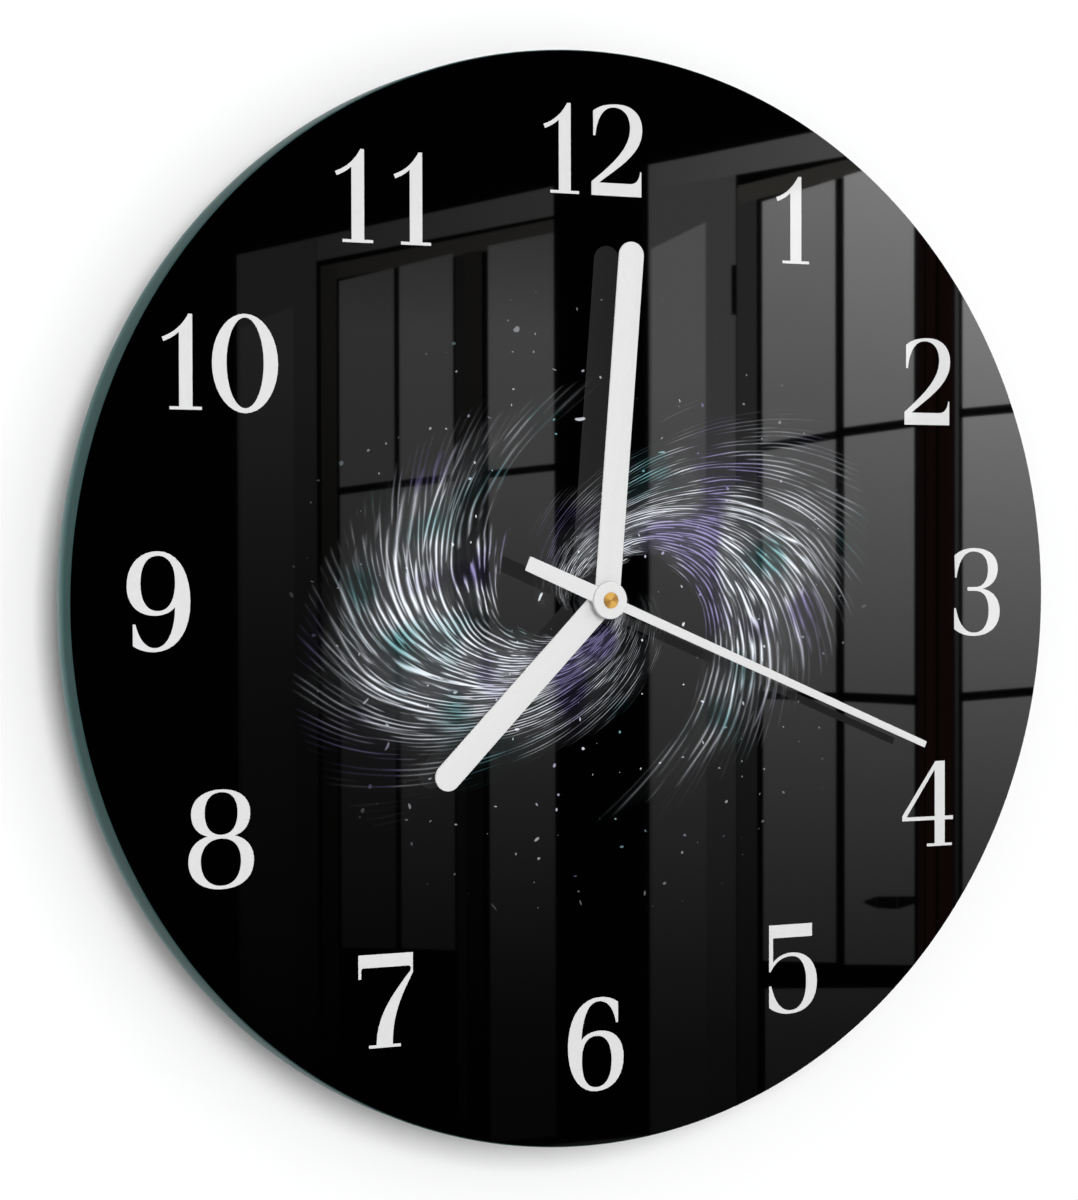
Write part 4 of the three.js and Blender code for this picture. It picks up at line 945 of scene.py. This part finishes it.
@dataclass
class GlassDial:
    """The glass disc with its printed face and numerals."""

    radius: float = 150.0
    back: float = 18.1
    front: float = 28.1
    arris: float = 0.3
    soft: float = 0.1
    hole: float = 5.0
    print_back: float = 28.15
    print_front: float = 28.35
    ink: float = 0.04
    facets: int = 384
    numeral_reach: tuple[float, float] = (126.3, 122.5)
    numeral_rise: float = 0.8
    drops: tuple[float, ...] = (12.5, 12.55, 12.7, 12.35, 12.7, 13.0, 12.85, 13.05, 12.55, 12.0, 12.1, 12.6)
    double: dict[int, tuple[tuple[Digit, float], ...]] = field(default_factory=lambda: {
        10: ((Digit.ONE, -10.75), (Digit.ZERO, 7.1)), 11: ((Digit.ONE, -8.75), (Digit.ONE, 8.1)),
        12: ((Digit.ONE, -10.5), (Digit.TWO, 7.25)),
    })

    def build(self) -> None:
        """Builds the disc, the print and the numerals."""
        piece("glass_disc", self.disc(), "clock_body", "glass", [CLEAR_GLASS, GLASS_RIM], "glass_dial")
        inner, outer = self.hole, self.radius - self.arris
        printed = smoothed(revolved([
            (inner, self.print_back), (outer, self.print_back), (outer, self.print_front),
            (inner, self.print_front),
        ], self.facets))
        for side in printed.polygons:
            side.material_index = 1 if side.normal.z < -0.5 else 0
        piece("printed_face", printed, "clock_body", "print", [PRINT, BASE_COAT], "dial_print")
        piece("dial_numerals", self.numerals(), "clock_body", "white_paint", [NUMERAL_INK])

    def disc(self) -> Mesh:
        """The disc, whose rim, arrises and hole are ground and whose faces are clear."""
        outer = self.radius - self.arris
        mesh = smoothed(revolved(filleted([
            (self.hole, self.back, self.arris), (outer, self.back, self.soft),
            (self.radius, self.back + self.arris, self.soft),
            (self.radius, self.front - self.arris, self.soft), (outer, self.front, self.soft),
            (self.hole, self.front, self.arris),
        ]), self.facets), 50)
        for face in mesh.polygons:
            face.material_index = 0 if abs(face.normal.z) > 0.99 else 1
        return mesh

    def numerals(self) -> Mesh:
        """The twelve numerals, upright on their circle."""
        outlines: list[Outline] = []
        single = list(Digit)
        for hour, drop in enumerate(self.drops, 1):
            angle = math.radians(30 * hour)
            x = self.numeral_reach[0] * math.sin(angle)
            y = self.numeral_reach[1] * math.cos(angle) + self.numeral_rise - drop
            for digit, offset in self.double.get(hour) or ((single[hour], 0.0),):
                outlines += digit.outlines(x + offset, y)
        return flat_piece(outlines, self.print_front, self.print_front + self.ink)


# Hands


class Hand(Enum):
    """The three hands, by the body each turns with."""

    HOUR = "hour"
    MINUTE = "minute"
    SECOND = "second"


@dataclass
class BatonHand:
    """A baton hand with round ends, pressed on its pipe by a collet."""

    kind: Hand
    length: float
    width: float
    angle: float
    foot: float
    collet_height: float
    bore: float
    thickness: float = 0.5
    collet_wall: float = 0.9
    edge: float = 0.09

    def build(self) -> None:
        """Builds the blade and the collet."""
        half = self.width / 2
        ends = arc((0, self.length - half), half, 0, 180, 40) + arc((0, 0), half, 180, 360, 40)
        low = self.foot + self.collet_height
        blade = flat_piece([ends, circle(self.bore, 48)], low, low + self.thickness, self.edge)
        outer, top = self.bore + self.collet_wall, low + self.edge
        collet = revolved(filleted([
            (self.bore, self.foot, 0.1), (outer, self.foot, 0.15), (outer, top, 0), (self.bore, top, 0),
        ]), 64)
        mesh = smoothed(merged(blade, collet))
        mesh.transform(Matrix.Rotation(-math.radians(self.angle), 4, "Z"))
        name = f"{self.kind.value}_hand"
        piece(f"{name}_pressing", mesh, self.kind.value, "white_paint", [HAND_PAINT], name)


@dataclass
class StripHand:
    """The second hand: a strip with square ends under a round hub disc, on a turned pin."""

    length: float = 111.5
    tip_width: float = 1.9
    root_width: float = 2.7
    tail: float = 26.8
    tail_width: float = 4.1
    tail_root_width: float = 4.5
    angle: float = 112.4
    back: float = 36.55
    thickness: float = 0.3
    edge: float = 0.06
    sunk: float = 0.1
    disc_radius: float = 5.1
    disc_front: float = 37.65
    pin_foot: float = 36.15
    pin_radius: float = 0.9
    head_radius: float = 2.2
    head_thickness: float = 0.4
    arbor_bore: float = 0.55
    gap: float = 0.05

    def build(self) -> None:
        """Builds the hand with its disc, and the pin."""
        front = self.back + self.thickness
        hole = self.pin_radius + self.gap
        right = [
            (self.tail_width / 2, -self.tail, 0.3), (self.tail_root_width / 2, 0, 0),
            (self.root_width / 2, 0, 0), (self.tip_width / 2, self.length, 0.25),
        ]
        strip = [(-x, y, rounding) for x, y, rounding in reversed(right)] + right
        blade = flat_piece([filleted(strip), circle(hole, 32)], self.back, front, self.edge)
        disc = revolved(filleted([
            (hole, front - self.sunk, 0), (self.disc_radius, front - self.sunk, 0),
            (self.disc_radius, self.disc_front, 0.3), (hole, self.disc_front, 0.08),
        ], 6), 96)
        mesh = smoothed(merged(blade, disc))
        mesh.transform(Matrix.Rotation(-math.radians(self.angle), 4, "Z"))
        piece("second_hand_pressing", mesh, Hand.SECOND.value, "white_paint", [HAND_PAINT], "second_hand")
        head = self.disc_front + self.gap
        top = head + self.head_thickness
        pin = smoothed(revolved(filleted([
            (self.arbor_bore, self.pin_foot, 0.05), (self.pin_radius, self.pin_foot, 0.05),
            (self.pin_radius, head, 0), (self.head_radius, head, 0.08), (self.head_radius, top, 0.2),
            (0, top, 0), (0, head, 0), (self.arbor_bore, head, 0),
        ]), 64))
        piece("turned_pin", pin, Hand.SECOND.value, "brass", [TURNED_BRASS], "second_hand_pin")


# Stage


class Shade(Enum):
    """How the grey that a mirrored area shows in the dial runs: heights in metres with their greys."""

    PANE = ((0.35, 126), (-0.4, 22), (-0.5, 12))
    REVEAL = ((0.05, 53), (-0.4, 12), (-0.5, 8))
    SUNLIT = ((0.15, 78), (-0.4, 13), (-0.5, 9))
    FAR_PANE = ((0.28, 46), (0.18, 66), (0.05, 60), (-0.36, 8), (-0.48, 4))
    FAR_REVEAL = ((0.15, 26), (-0.1, 9), (-0.4, 0))


@dataclass(frozen=True)
class MirroredArea:
    """One plain area of the room that the dial mirrors, on a plane in front of it.

    Its left and right end, and the heights of its top and bottom at each, are in metres on that
    plane. Its shade runs with height, or is one grey. Lean is the share by which the right end is
    lighter than the left one.
    """

    left: float
    right: float
    top_left: float
    top_right: float
    bottom_left: float
    bottom_right: float
    shade: Shade | float
    scale: float = 1.0
    lean: float = 0.0
    tint: Point = (1.0, 1.0, 1.0)

    def light(self, z: float, share: float, mirrored: float) -> float:
        """The radiance that makes the dial show the area's grey at a height.

        Args:
            z: the height in metres.
            share: what the grey is multiplied by.
            mirrored: the share of light that the dial mirrors.

        Returns:
            The radiance.
        """
        greys = sorted(self.shade.value) if isinstance(self.shade, Shade) else [(0.0, self.shade)]
        low = max((g for g in greys if g[0] <= z), default=greys[0])
        high = min((g for g in greys if g[0] >= z), default=greys[-1])
        span = high[0] - low[0]
        part = (z - low[0]) / span if span > 0 else 0.0
        return lit((low[1] + (high[1] - low[1]) * part) * self.scale * share / 255) / mirrored


# The height where the areas end, below what the dial mirrors, and the tints of frames that aren't grey
LOW = -0.52
OAK, MAHOGANY = (1.0, 0.96, 0.86), (1.0, 0.42, 0.36)
ROOM = (
    # Near window: wall beside it, soffit, frame
    (0.849, 0.931, 0.319, 0.337, LOW, LOW, Shade.REVEAL),
    (0.851, 0.902, 0.251, 0.275, LOW, LOW, Shade.SUNLIT),
    (0.855, 1.06, 0.32, 0.367, 0.3, 0.341, 54, 1.0, 0.3),
    (0.926, 0.931, 0.241, 0.241, 0.2, 0.2, 2),
    (0.931, 0.95, 0.304, 0.309, LOW, LOW, Shade.REVEAL, 0.66),
    (0.932, 1.06, 0.306, 0.339, 0.291, 0.325, 41, 1.0, 0.0, OAK),
    # Its panes, column by column
    (0.955, 1.026, 0.294, 0.316, 0.095, 0.106, Shade.PANE, 0.88),
    (0.955, 1.026, 0.088, 0.099, -0.11, -0.113, Shade.PANE, 0.9),
    (0.955, 1.026, -0.117, -0.12, -0.334, -0.34, Shade.PANE, 0.92),
    (1.034, 1.104, 0.319, 0.34, 0.109, 0.118, Shade.PANE),
    (1.034, 1.104, 0.101, 0.11, -0.113, -0.117, Shade.PANE),
    (1.034, 1.104, -0.121, -0.126, -0.342, -0.347, Shade.PANE),
    (1.153, 1.3, 0.36, 0.4, 0.127, 0.141, Shade.PANE, 1.14),
    (1.153, 1.3, 0.119, 0.132, -0.116, -0.11, Shade.PANE, 1.18),
    (1.153, 1.3, -0.124, -0.118, -0.36, -0.38, Shade.PANE, 1.2),
    # The panel under it, and thin lights along the mullion
    (0.955, 1.1, -0.357, -0.366, LOW, LOW, Shade.PANE, 0.95),
    (1.144, 1.148, 0.36, 0.36, -0.36, -0.36, Shade.PANE, 0.45),
    (1.106, 1.113, 0.36, 0.36, -0.36, -0.36, 11, 1.0, 0.0, MAHOGANY),
    (1.114, 1.124, 0.36, 0.36, -0.37, -0.37, 14, 1.0, 0.0, MAHOGANY),
    (1.126, 1.142, 0.36, 0.36, -0.37, -0.37, 12, 1.0, 0.0, MAHOGANY),
    # Its dark lever handle
    (1.051, 1.063, -0.289, -0.286, -0.291, -0.296, 2),
    (1.063, 1.084, -0.286, -0.287, -0.296, -0.298, 2),
    (1.084, 1.104, -0.287, -0.288, -0.298, -0.294, 2),
    # Far window
    (0.488, 0.553, 0.231, 0.247, LOW, LOW, Shade.FAR_REVEAL),
    (0.49, 0.534, 0.176, 0.194, LOW, LOW, Shade.FAR_REVEAL, 1.22),
    (0.553, 0.757, 0.247, 0.296, 0.229, 0.273, 29, 1.0, 0.5),
    (0.556, 0.757, 0.225, 0.27, 0.213, 0.255, 22, 1.0, 0.35, OAK),
    (0.556, 0.569, 0.225, 0.228, LOW, LOW, Shade.FAR_REVEAL, 0.72, 0.0, OAK),
    (0.677, 0.693, 0.24, 0.243, -0.44, -0.44, Shade.FAR_REVEAL, 0.66, 0.0, OAK),
    (0.571, 0.617, 0.214, 0.226, 0.056, 0.062, Shade.FAR_PANE, 0.72),
    (0.571, 0.617, 0.05, 0.056, -0.112, -0.112, Shade.FAR_PANE, 0.7),
    (0.571, 0.617, -0.118, -0.118, -0.298, -0.302, Shade.FAR_PANE, 0.5),
    (0.621, 0.667, 0.227, 0.239, 0.062, 0.067, Shade.FAR_PANE, 0.85),
    (0.621, 0.667, 0.056, 0.061, -0.112, -0.113, Shade.FAR_PANE, 0.85),
    (0.621, 0.667, -0.118, -0.119, -0.302, -0.306, Shade.FAR_PANE, 0.8),
    (0.697, 0.755, 0.246, 0.259, 0.07, 0.076, Shade.FAR_PANE),
    (0.697, 0.755, 0.064, 0.07, -0.113, -0.114, Shade.FAR_PANE),
    (0.697, 0.755, -0.119, -0.12, -0.46, -0.46, Shade.FAR_PANE),
    (0.668, 0.676, 0.236, 0.238, -0.44, -0.44, Shade.FAR_PANE, 0.25),
)


@dataclass(frozen=True)
class SoftBox:
    """A square lamp: its place and the point it faces and its side in metres, and its watts."""

    name: str
    at: Point
    to: Point
    size: float
    watts: float

    def build(self) -> Object:
        """Adds the lamp."""
        data = bpy.data.lights.new(self.name, "AREA")
        data.shape, data.size, data.energy = "SQUARE", self.size, self.watts
        made = placed(self.name, data)
        made.location = self.at
        made.rotation_euler = (Vector(self.to) - Vector(self.at)).to_track_quat("-Z", "Y").to_euler()
        return made


@dataclass
class Studio:
    """Wall, floor, lamps, the mirrored room and the camera, in metres in the row frame.

    Floor_lift is light added to the floor for the camera, and diffuse_fill the world's light on
    matt surfaces. Mirrors see the world turn from black to mirrored_sky where their way's y runs
    over sky_turn. The areas of the mirrored room lie a layer apart, and mirrored is the share of
    light that the dial mirrors.
    """

    wall_gap: float = 0.0003
    wall_side: float = 1.6
    wall_top: float = 1.4
    floor_height: float = -1.0
    floor_side: float = 3.0
    floor_ends: tuple[float, float] = (-4.0, 2.5)
    floor_lift: float = 0.72
    key: SoftBox = SoftBox("key", (-0.47, -2.1, 0.4), (0, 0, 0), 0.75, 31)
    fill: SoftBox = SoftBox("soft_fill", (0.25, -2.0, 0.2), (0, 0, 0), 2.6, 7)
    behind: SoftBox = SoftBox("back_fill", (0.9, 2.2, 1.2), (0, 0, 0), 1.4, 60)
    hand_backs: SoftBox = SoftBox("hand_back_fill", (-0.2, 0.6, 0.1), (0, -0.034, 0), 0.5, 5.6)
    diffuse_fill: float = 0.5
    sky_turn: tuple[float, float] = (-0.15, 0.25)
    mirrored_sky: float = 0.8
    room_distance: float = 1.5
    room_rows: int = 14
    layer: float = 0.0004
    mirrored: float = 0.043
    face: float = 0.02835
    azimuth: float = -28.036
    elevation: float = 1.116
    roll: float = 0.109
    distance: float = 0.87644
    lens: float = 95.96
    shift: tuple[float, float] = (-0.0464, -0.0001)

    def build(self) -> None:
        """Builds the stage and the camera."""
        x, y, z, top = self.wall_side, self.wall_gap, self.floor_height, self.wall_top
        paint = self.backdrop("matt_white_wall_paint", "#F1F1F1", 0.0)
        self.plane("wall", [(-x, y, z), (x, y, z), (x, y, top), (-x, y, top)], paint)
        paint = self.backdrop("matt_pale_floor", "#8E8D8A", self.floor_lift)
        x, (near, far) = self.floor_side, self.floor_ends
        floor = self.plane("floor", [(-x, near, z), (x, near, z), (x, far, z), (-x, far, z)], paint)
        floor.visible_diffuse = False
        self.world()
        for lamp in (self.key.build(), self.fill.build()):
            # The face mirrors the windows alone. Without this sampling the hands, which another lamp
            # is linked to, get no more light from these two than the wall does
            lamp.visible_glossy = False
            lamp.data.cycles.use_multiple_importance_sampling = False
        self.behind.build()
        self.mirrored_room()
        self.camera()

    def plane(self, name: str, corners: list[Point], made_of: Material) -> Object:
        """Makes one flat stage piece.

        Args:
            name: its name.
            corners: its corners.
            made_of: its material.

        Returns:
            The stage piece.
        """
        mesh = bpy.data.meshes.new(name)
        mesh.from_pydata(corners, [], [tuple(range(len(corners)))])
        mesh.materials.append(made_of)
        made = placed(name, mesh)
        return made

    def backdrop(self, name: str, colour: str, lift: float) -> Material:
        """A matt paint that shows the object's shadow, and is white where nothing shades it.

        Args:
            name: the material's name.
            colour: its paint.
            lift: the light added for camera rays alone.

        Returns:
            The material, which is clear from behind and lets lamps shine through.
        """
        made = bpy.data.materials.new(name)
        tree = emptied(made)
        rays = add(tree, "LightPath").outputs
        paint = add(tree, "BsdfDiffuse", Color=linear(colour))
        strength = add(tree, "MULTIPLY", rays["Is Camera Ray"], lift)
        front = add(tree, "AddShader", paint, add(tree, "Emission", Strength=strength))
        back = add(tree, "NewGeometry").outputs["Backfacing"]
        open_side = add(tree, "MAXIMUM", back, rays["Is Shadow Ray"])
        seen = add(tree, "MixShader", open_side, front, add(tree, "BsdfTransparent"))
        add(tree, "OutputMaterial", seen)
        return made

    def world(self) -> None:
        """Soft light from all round. Mirrors see it pale behind the wall and dark in the room."""
        bpy.context.scene.world = bpy.data.worlds.new("studio")
        tree = emptied(bpy.context.scene.world)
        rays = add(tree, "LightPath").outputs
        way = add(tree, "SeparateXYZ", add(tree, "TexCoord").outputs["Generated"])
        mirrored = add(tree, "MapRange", way.outputs["Y"], *self.sky_turn, 0.0, self.mirrored_sky)
        fill = add(
            tree, "Mix", rays["Is Glossy Ray"], data_type="FLOAT", A_Float=self.diffuse_fill,
            B_Float=mirrored,
        )
        seen = add(tree, "Mix", rays["Is Camera Ray"], data_type="FLOAT", B_Float=1.0, A_Float=fill)
        light = add(tree, "Background", Color=(1.0, 1.0, 1.0, 1.0), Strength=seen)
        add(tree, "OutputWorld", light)

    def keep_off_rim(self, disc: Object) -> None:
        """Keeps the lamp behind off the glass disc, whose rim would throw its light on the wall."""
        left_out = bpy.data.collections.new("not_lit_from_behind")
        left_out.objects.link(disc)
        left_out.collection_objects[0].light_linking.link_state = "EXCLUDE"
        bpy.data.objects[self.behind.name].light_linking.receiver_collection = left_out

    def light_hand_backs(self, hands: list[Object]) -> None:
        """Lights the backs of the hands, which the black face mirrors as a pale ghost.

        Args:
            hands: the pieces that the lamp lights. Nothing else is lit by it or shades it.
        """
        linking = self.hand_backs.build().light_linking
        taken = bpy.data.collections.new("hands_mirrored_in_the_face")
        for hand in hands:
            taken.objects.link(hand)
        linking.receiver_collection = linking.blocker_collection = taken

    def mirrored_room(self) -> None:
        """The paned windows that the dial mirrors, seen by mirrors alone."""
        mesh = bpy.data.meshes.new("mirrored_room")
        points, faces, lights = [], [], []
        for depth, area in enumerate(MirroredArea(*row) for row in ROOM):
            y = -self.face - self.room_distance + depth * self.layer
            first = len(points)
            left = (area.left, area.top_left, area.bottom_left)
            right = (area.right, area.top_right, area.bottom_right)
            for k in range(self.room_rows + 1):
                for end, (x, top, bottom) in enumerate((left, right)):
                    z = top + (bottom - top) * k / self.room_rows
                    points.append((x, y, z))
                    light = area.light(z, 1 + area.lean * end, self.mirrored)
                    lights += [*(light * share for share in area.tint), 1.0]
            for a in range(first, first + 2 * self.room_rows, 2):
                faces.append((a, a + 1, a + 3, a + 2))
        mesh.from_pydata(points, [], faces)
        mesh.attributes.new("mirrored_light", "FLOAT_COLOR", "POINT").data.foreach_set("color", lights)
        made_of = bpy.data.materials.new("window_light")
        tree = emptied(made_of)
        seen = add(tree, "Attribute", attribute_name="mirrored_light")
        glow = add(tree, "Emission", Strength=1.0, Color=seen)
        add(tree, "OutputMaterial", glow)
        mesh.materials.append(made_of)
        made = placed("mirrored_room", mesh)
        made.visible_camera = made.visible_diffuse = made.visible_shadow = False
        made.visible_transmission = made.visible_volume_scatter = False

    def camera(self) -> None:
        """The camera, fitted to the disc's outline in the photograph."""
        azimuth, elevation, roll = map(math.radians, (self.azimuth, self.elevation, self.roll))
        back = Vector((
            math.sin(azimuth) * math.cos(elevation), -math.cos(azimuth) * math.cos(elevation),
            math.sin(elevation),
        ))
        data = bpy.data.cameras.new("view")
        data.lens, (data.shift_x, data.shift_y), data.clip_start = self.lens, self.shift, 0.02
        made = placed("view", data)
        made.location = Vector((0, -self.face, 0)) + back * self.distance
        made.rotation_mode = "QUATERNION"
        level = (-back).to_track_quat("-Z", "Y")
        made.rotation_quaternion = level @ Matrix.Rotation(-roll, 3, "Z").to_quaternion()
        bpy.context.scene.camera = made
        bpy.context.scene.view_settings.view_transform = "Standard"


# The clamped middle, the cell and the movement


@dataclass
class CentreFixing:
    """What clamps the glass to the movement."""

    foot: float = 14.95
    flange_top: float = 15.45
    top: float = 31.85
    chamfer: float = 0.4
    bore: float = 2.7
    flange: float = 4.8
    radius: float = 4.0
    pitch: float = 0.75
    thread_depth: float = 0.22
    core_depth: float = 0.264

    def build(self) -> None:
        """Builds the bush, nut, washer and gasket."""
        piece("turned_bush", self.bush(), "clock_body", "brass", [TURNED_BRASS], "threaded_bush")
        for name, slot, finish, node, width in (
            ("hexagon_nut", "black_metal", BLACK_STEEL, "hand_nut", 0.15),
            ("plain_washer", "black_metal", BLACK_STEEL, "front_washer", 0.08),
            ("gasket_ring", "rubber", RUBBER, "rubber_gasket", 0.2),
        ):
            piece(name, smoothed(softened(node, width, 40)), "clock_body", slot, [finish], node)

    def bush(self) -> Mesh:
        """The flanged bush, with a real thread on it."""
        core = self.radius - self.core_depth
        body = revolved([
            (self.bore, self.foot), (self.flange, self.foot), (self.flange, self.flange_top),
            (core, self.flange_top), (core, self.top - self.chamfer / 2),
            (core - self.chamfer / 2, self.top), (self.bore, self.top),
        ], 64)
        length = self.top - self.flange_top - 2 * self.chamfer
        ridge = thread_ridge(self.radius, self.pitch, length, self.thread_depth, TURNED_BRASS)
        ridge.transform(Matrix.Translation((0, 0, self.flange_top + self.chamfer)))
        return smoothed(merged(body, ridge), 25)


@dataclass
class DryCell:
    """The AA cell, lying along x with its nub to the right, in its printed film."""

    axis: tuple[float, float] = (-19.35, 7.5)
    foot: float = -25.25
    shoulder: float = 23.95
    nub_end: float = 25.25
    radius: float = 7.25
    film: float = 0.12
    film_inside: float = 0.3
    film_end: float = 0.2
    roll: float = 0.7
    end_radius: float = 5.9
    nub_radius: float = 2.75
    nub_flare: float = 0.9
    nub_groove: float = 0.4
    band_start: float = 14.5

    def build(self) -> None:
        """Builds the cell: steel ends, and film in two colours round the can."""
        can, roll, foot = self.radius - self.film, self.roll, self.foot
        inside, shoulder, nub = can - self.film_inside, self.shoulder, self.nub_radius
        ends = revolved(filleted([
            (0, foot + 0.1, 0), (can - roll, foot, 0.2), (can, foot + roll, 0.4), (can, shoulder - roll, 0.4),
            (can - roll, shoulder - 0.05, 0.3), (nub + self.nub_flare, shoulder - 0.05, 0.2),
            (nub + self.nub_groove, shoulder - 0.3, 0.1), (nub, shoulder - 0.3, 0.1),
            (nub, self.nub_end, 0.5), (0, self.nub_end, 0),
        ]), 96)
        bm = opened(revolved(filleted([
            (self.end_radius, foot + 0.02, 0.08), (self.radius - roll, foot + 0.02, 0.2),
            (self.radius, foot + roll, 0.4), (self.radius, shoulder - roll, 0.4),
            (self.radius - roll, shoulder, 0.2), (self.end_radius, shoulder, 0.08),
            (self.end_radius, shoulder - self.film_end, 0),
            (inside, shoulder - roll - self.film_inside, 0),
            (inside, self.band_start, 0), (inside, foot + roll + self.film_inside, 0),
            (self.end_radius, foot + self.film_end, 0),
        ]), 96))
        bmesh.ops.bisect_plane(
            bm, geom=[*bm.verts, *bm.edges, *bm.faces], plane_co=(0, 0, self.band_start), plane_no=(0, 0, 1),
        )
        wrap = to_mesh(bm)
        for face in wrap.polygons:
            face.material_index = 2 if face.center.z > self.band_start else 1
        mesh = smoothed(merged(ends, wrap), 40)
        mesh.transform(Matrix.Translation((0, *self.axis)) @ Matrix.Rotation(QUARTER, 4, "Y"))
        piece("dry_cell", mesh, "cell", "cell_wrap", [ZINC_STEEL, CELL_WRAP, CELL_RING], "battery")


@dataclass
class Movement:
    """The quartz movement behind the glass."""

    knob: tuple[float, float] = (11.638, 2.052)
    arrow_radius: float = 7.1
    arrow_width: float = 0.8
    arrow_head: float = 1.3
    arrow_depth: float = 0.25
    arrow_turn: float = 105.0
    arrow_point: float = 17.0
    wire: float = 0.14
    coil_hollow: float = 0.72

    def build(self) -> None:
        """Builds what is seen of the movement, and dresses what is inside."""
        case, cover = softened("case_front", 0.2), carved(softened("rear_cover", 0.2), self.arrows())
        knob, hanger = softened("setting_knob", 0.12, 25), softened("hanger_bracket", 0.2, 40)
        for name, mesh, body, slot, finish, node in (
            ("case_shell", case, "clock_body", "case_moulding", CASE_ABS, "case_front"),
            ("back_cover", cover, "clock_body", "case_moulding", CASE_ABS, "rear_cover"),
            ("fluted_knob", knob, "knob", "white_moulding", KNOB_ABS, "setting_knob"),
            ("coil_turns", self.coil(), "clock_body", "copper", COPPER, "coil_winding"),
            ("hanger_strip", hanger, "clock_body", "plated_steel", ZINC_STEEL, "hanger_bracket"),
        ):
            piece(name, smoothed(mesh), body, slot, [finish], node)
        dress(
            ACETAL, "middle_plate", "rotor_pinion", "intermediate_wheel", "seconds_wheel", "third_wheel",
            "centre_wheel", "cannon_pinion", "motion_wheel", "hour_wheel", "coil_bobbin",
        )
        dress(MAGNET, "rotor_magnet")
        dress(SOFT_IRON, "stator", "coil_core")
        dress(BOARD, "circuit_board")
        dress(RESIN, "timing_chip")
        dress(ZINC_STEEL, "quartz_crystal", "contact_positive", "contact_negative")

    def arrows(self) -> Mesh:
        """Two bent arrows about the knob, as a tool that engraves them."""
        half, head = self.arrow_width / 2, self.arrow_head
        outlines = []
        for start in (25.0, 205.0):
            end = start + self.arrow_turn
            corners = [
                arc(self.knob, self.arrow_radius + out, end + turn, end + turn, 1)[0]
                for out, turn in ((head, 0), (0, self.arrow_point), (-head, 0))
            ]
            outer = arc(self.knob, self.arrow_radius + half, start, end, 24)
            outlines.append(outer + corners + arc(self.knob, self.arrow_radius - half, end, start, 24))
        return flat_piece(outlines, -self.arrow_depth, self.arrow_depth)

    def coil(self) -> Mesh:
        """The winding as single turns of wire, over the tube of wire under them."""
        low, high = dial_box("coil_winding")
        radius = (high.x - low.x) / 2
        length = high.y - low.y - 2 * self.wire
        turns = wound_turns(radius, self.wire, length, round(length / (2 * self.wire)) + 1, COPPER)
        inner, outer, half = radius * self.coil_hollow, radius - self.wire, length / 2
        under = revolved([(inner, -half), (outer, -half), (outer, half), (inner, half)], 48)
        under.transform(Matrix.Rotation(QUARTER, 4, "X"))
        mesh = merged(turns, under)
        mesh.transform(Matrix.Translation((low + high) / 2))
        return mesh


def main() -> None:
    """Builds the stage, then every sub-assembly from the glass back to the movement."""
    logging.basicConfig(level=logging.INFO, format="%(name)s: %(message)s")
    studio = Studio()
    for assembly in (
        studio, GlassDial(), BatonHand(Hand.HOUR, 70.0, 7.5, 225.3, 32.25, 1.2, 2.55),
        BatonHand(Hand.MINUTE, 98.0, 7.6, 4.7, 34.35, 0.9, 1.65), StripHand(), CentreFixing(), Movement(),
        DryCell(),
    ):
        assembly.build()
        LOG.info("%s built", type(assembly).__name__)
    studio.light_hand_backs([bpy.data.objects[f"{hand.value}_hand_pressing"] for hand in Hand])
    studio.keep_off_rim(bpy.data.objects["glass_disc"])


if __name__ == "__main__":
    main()
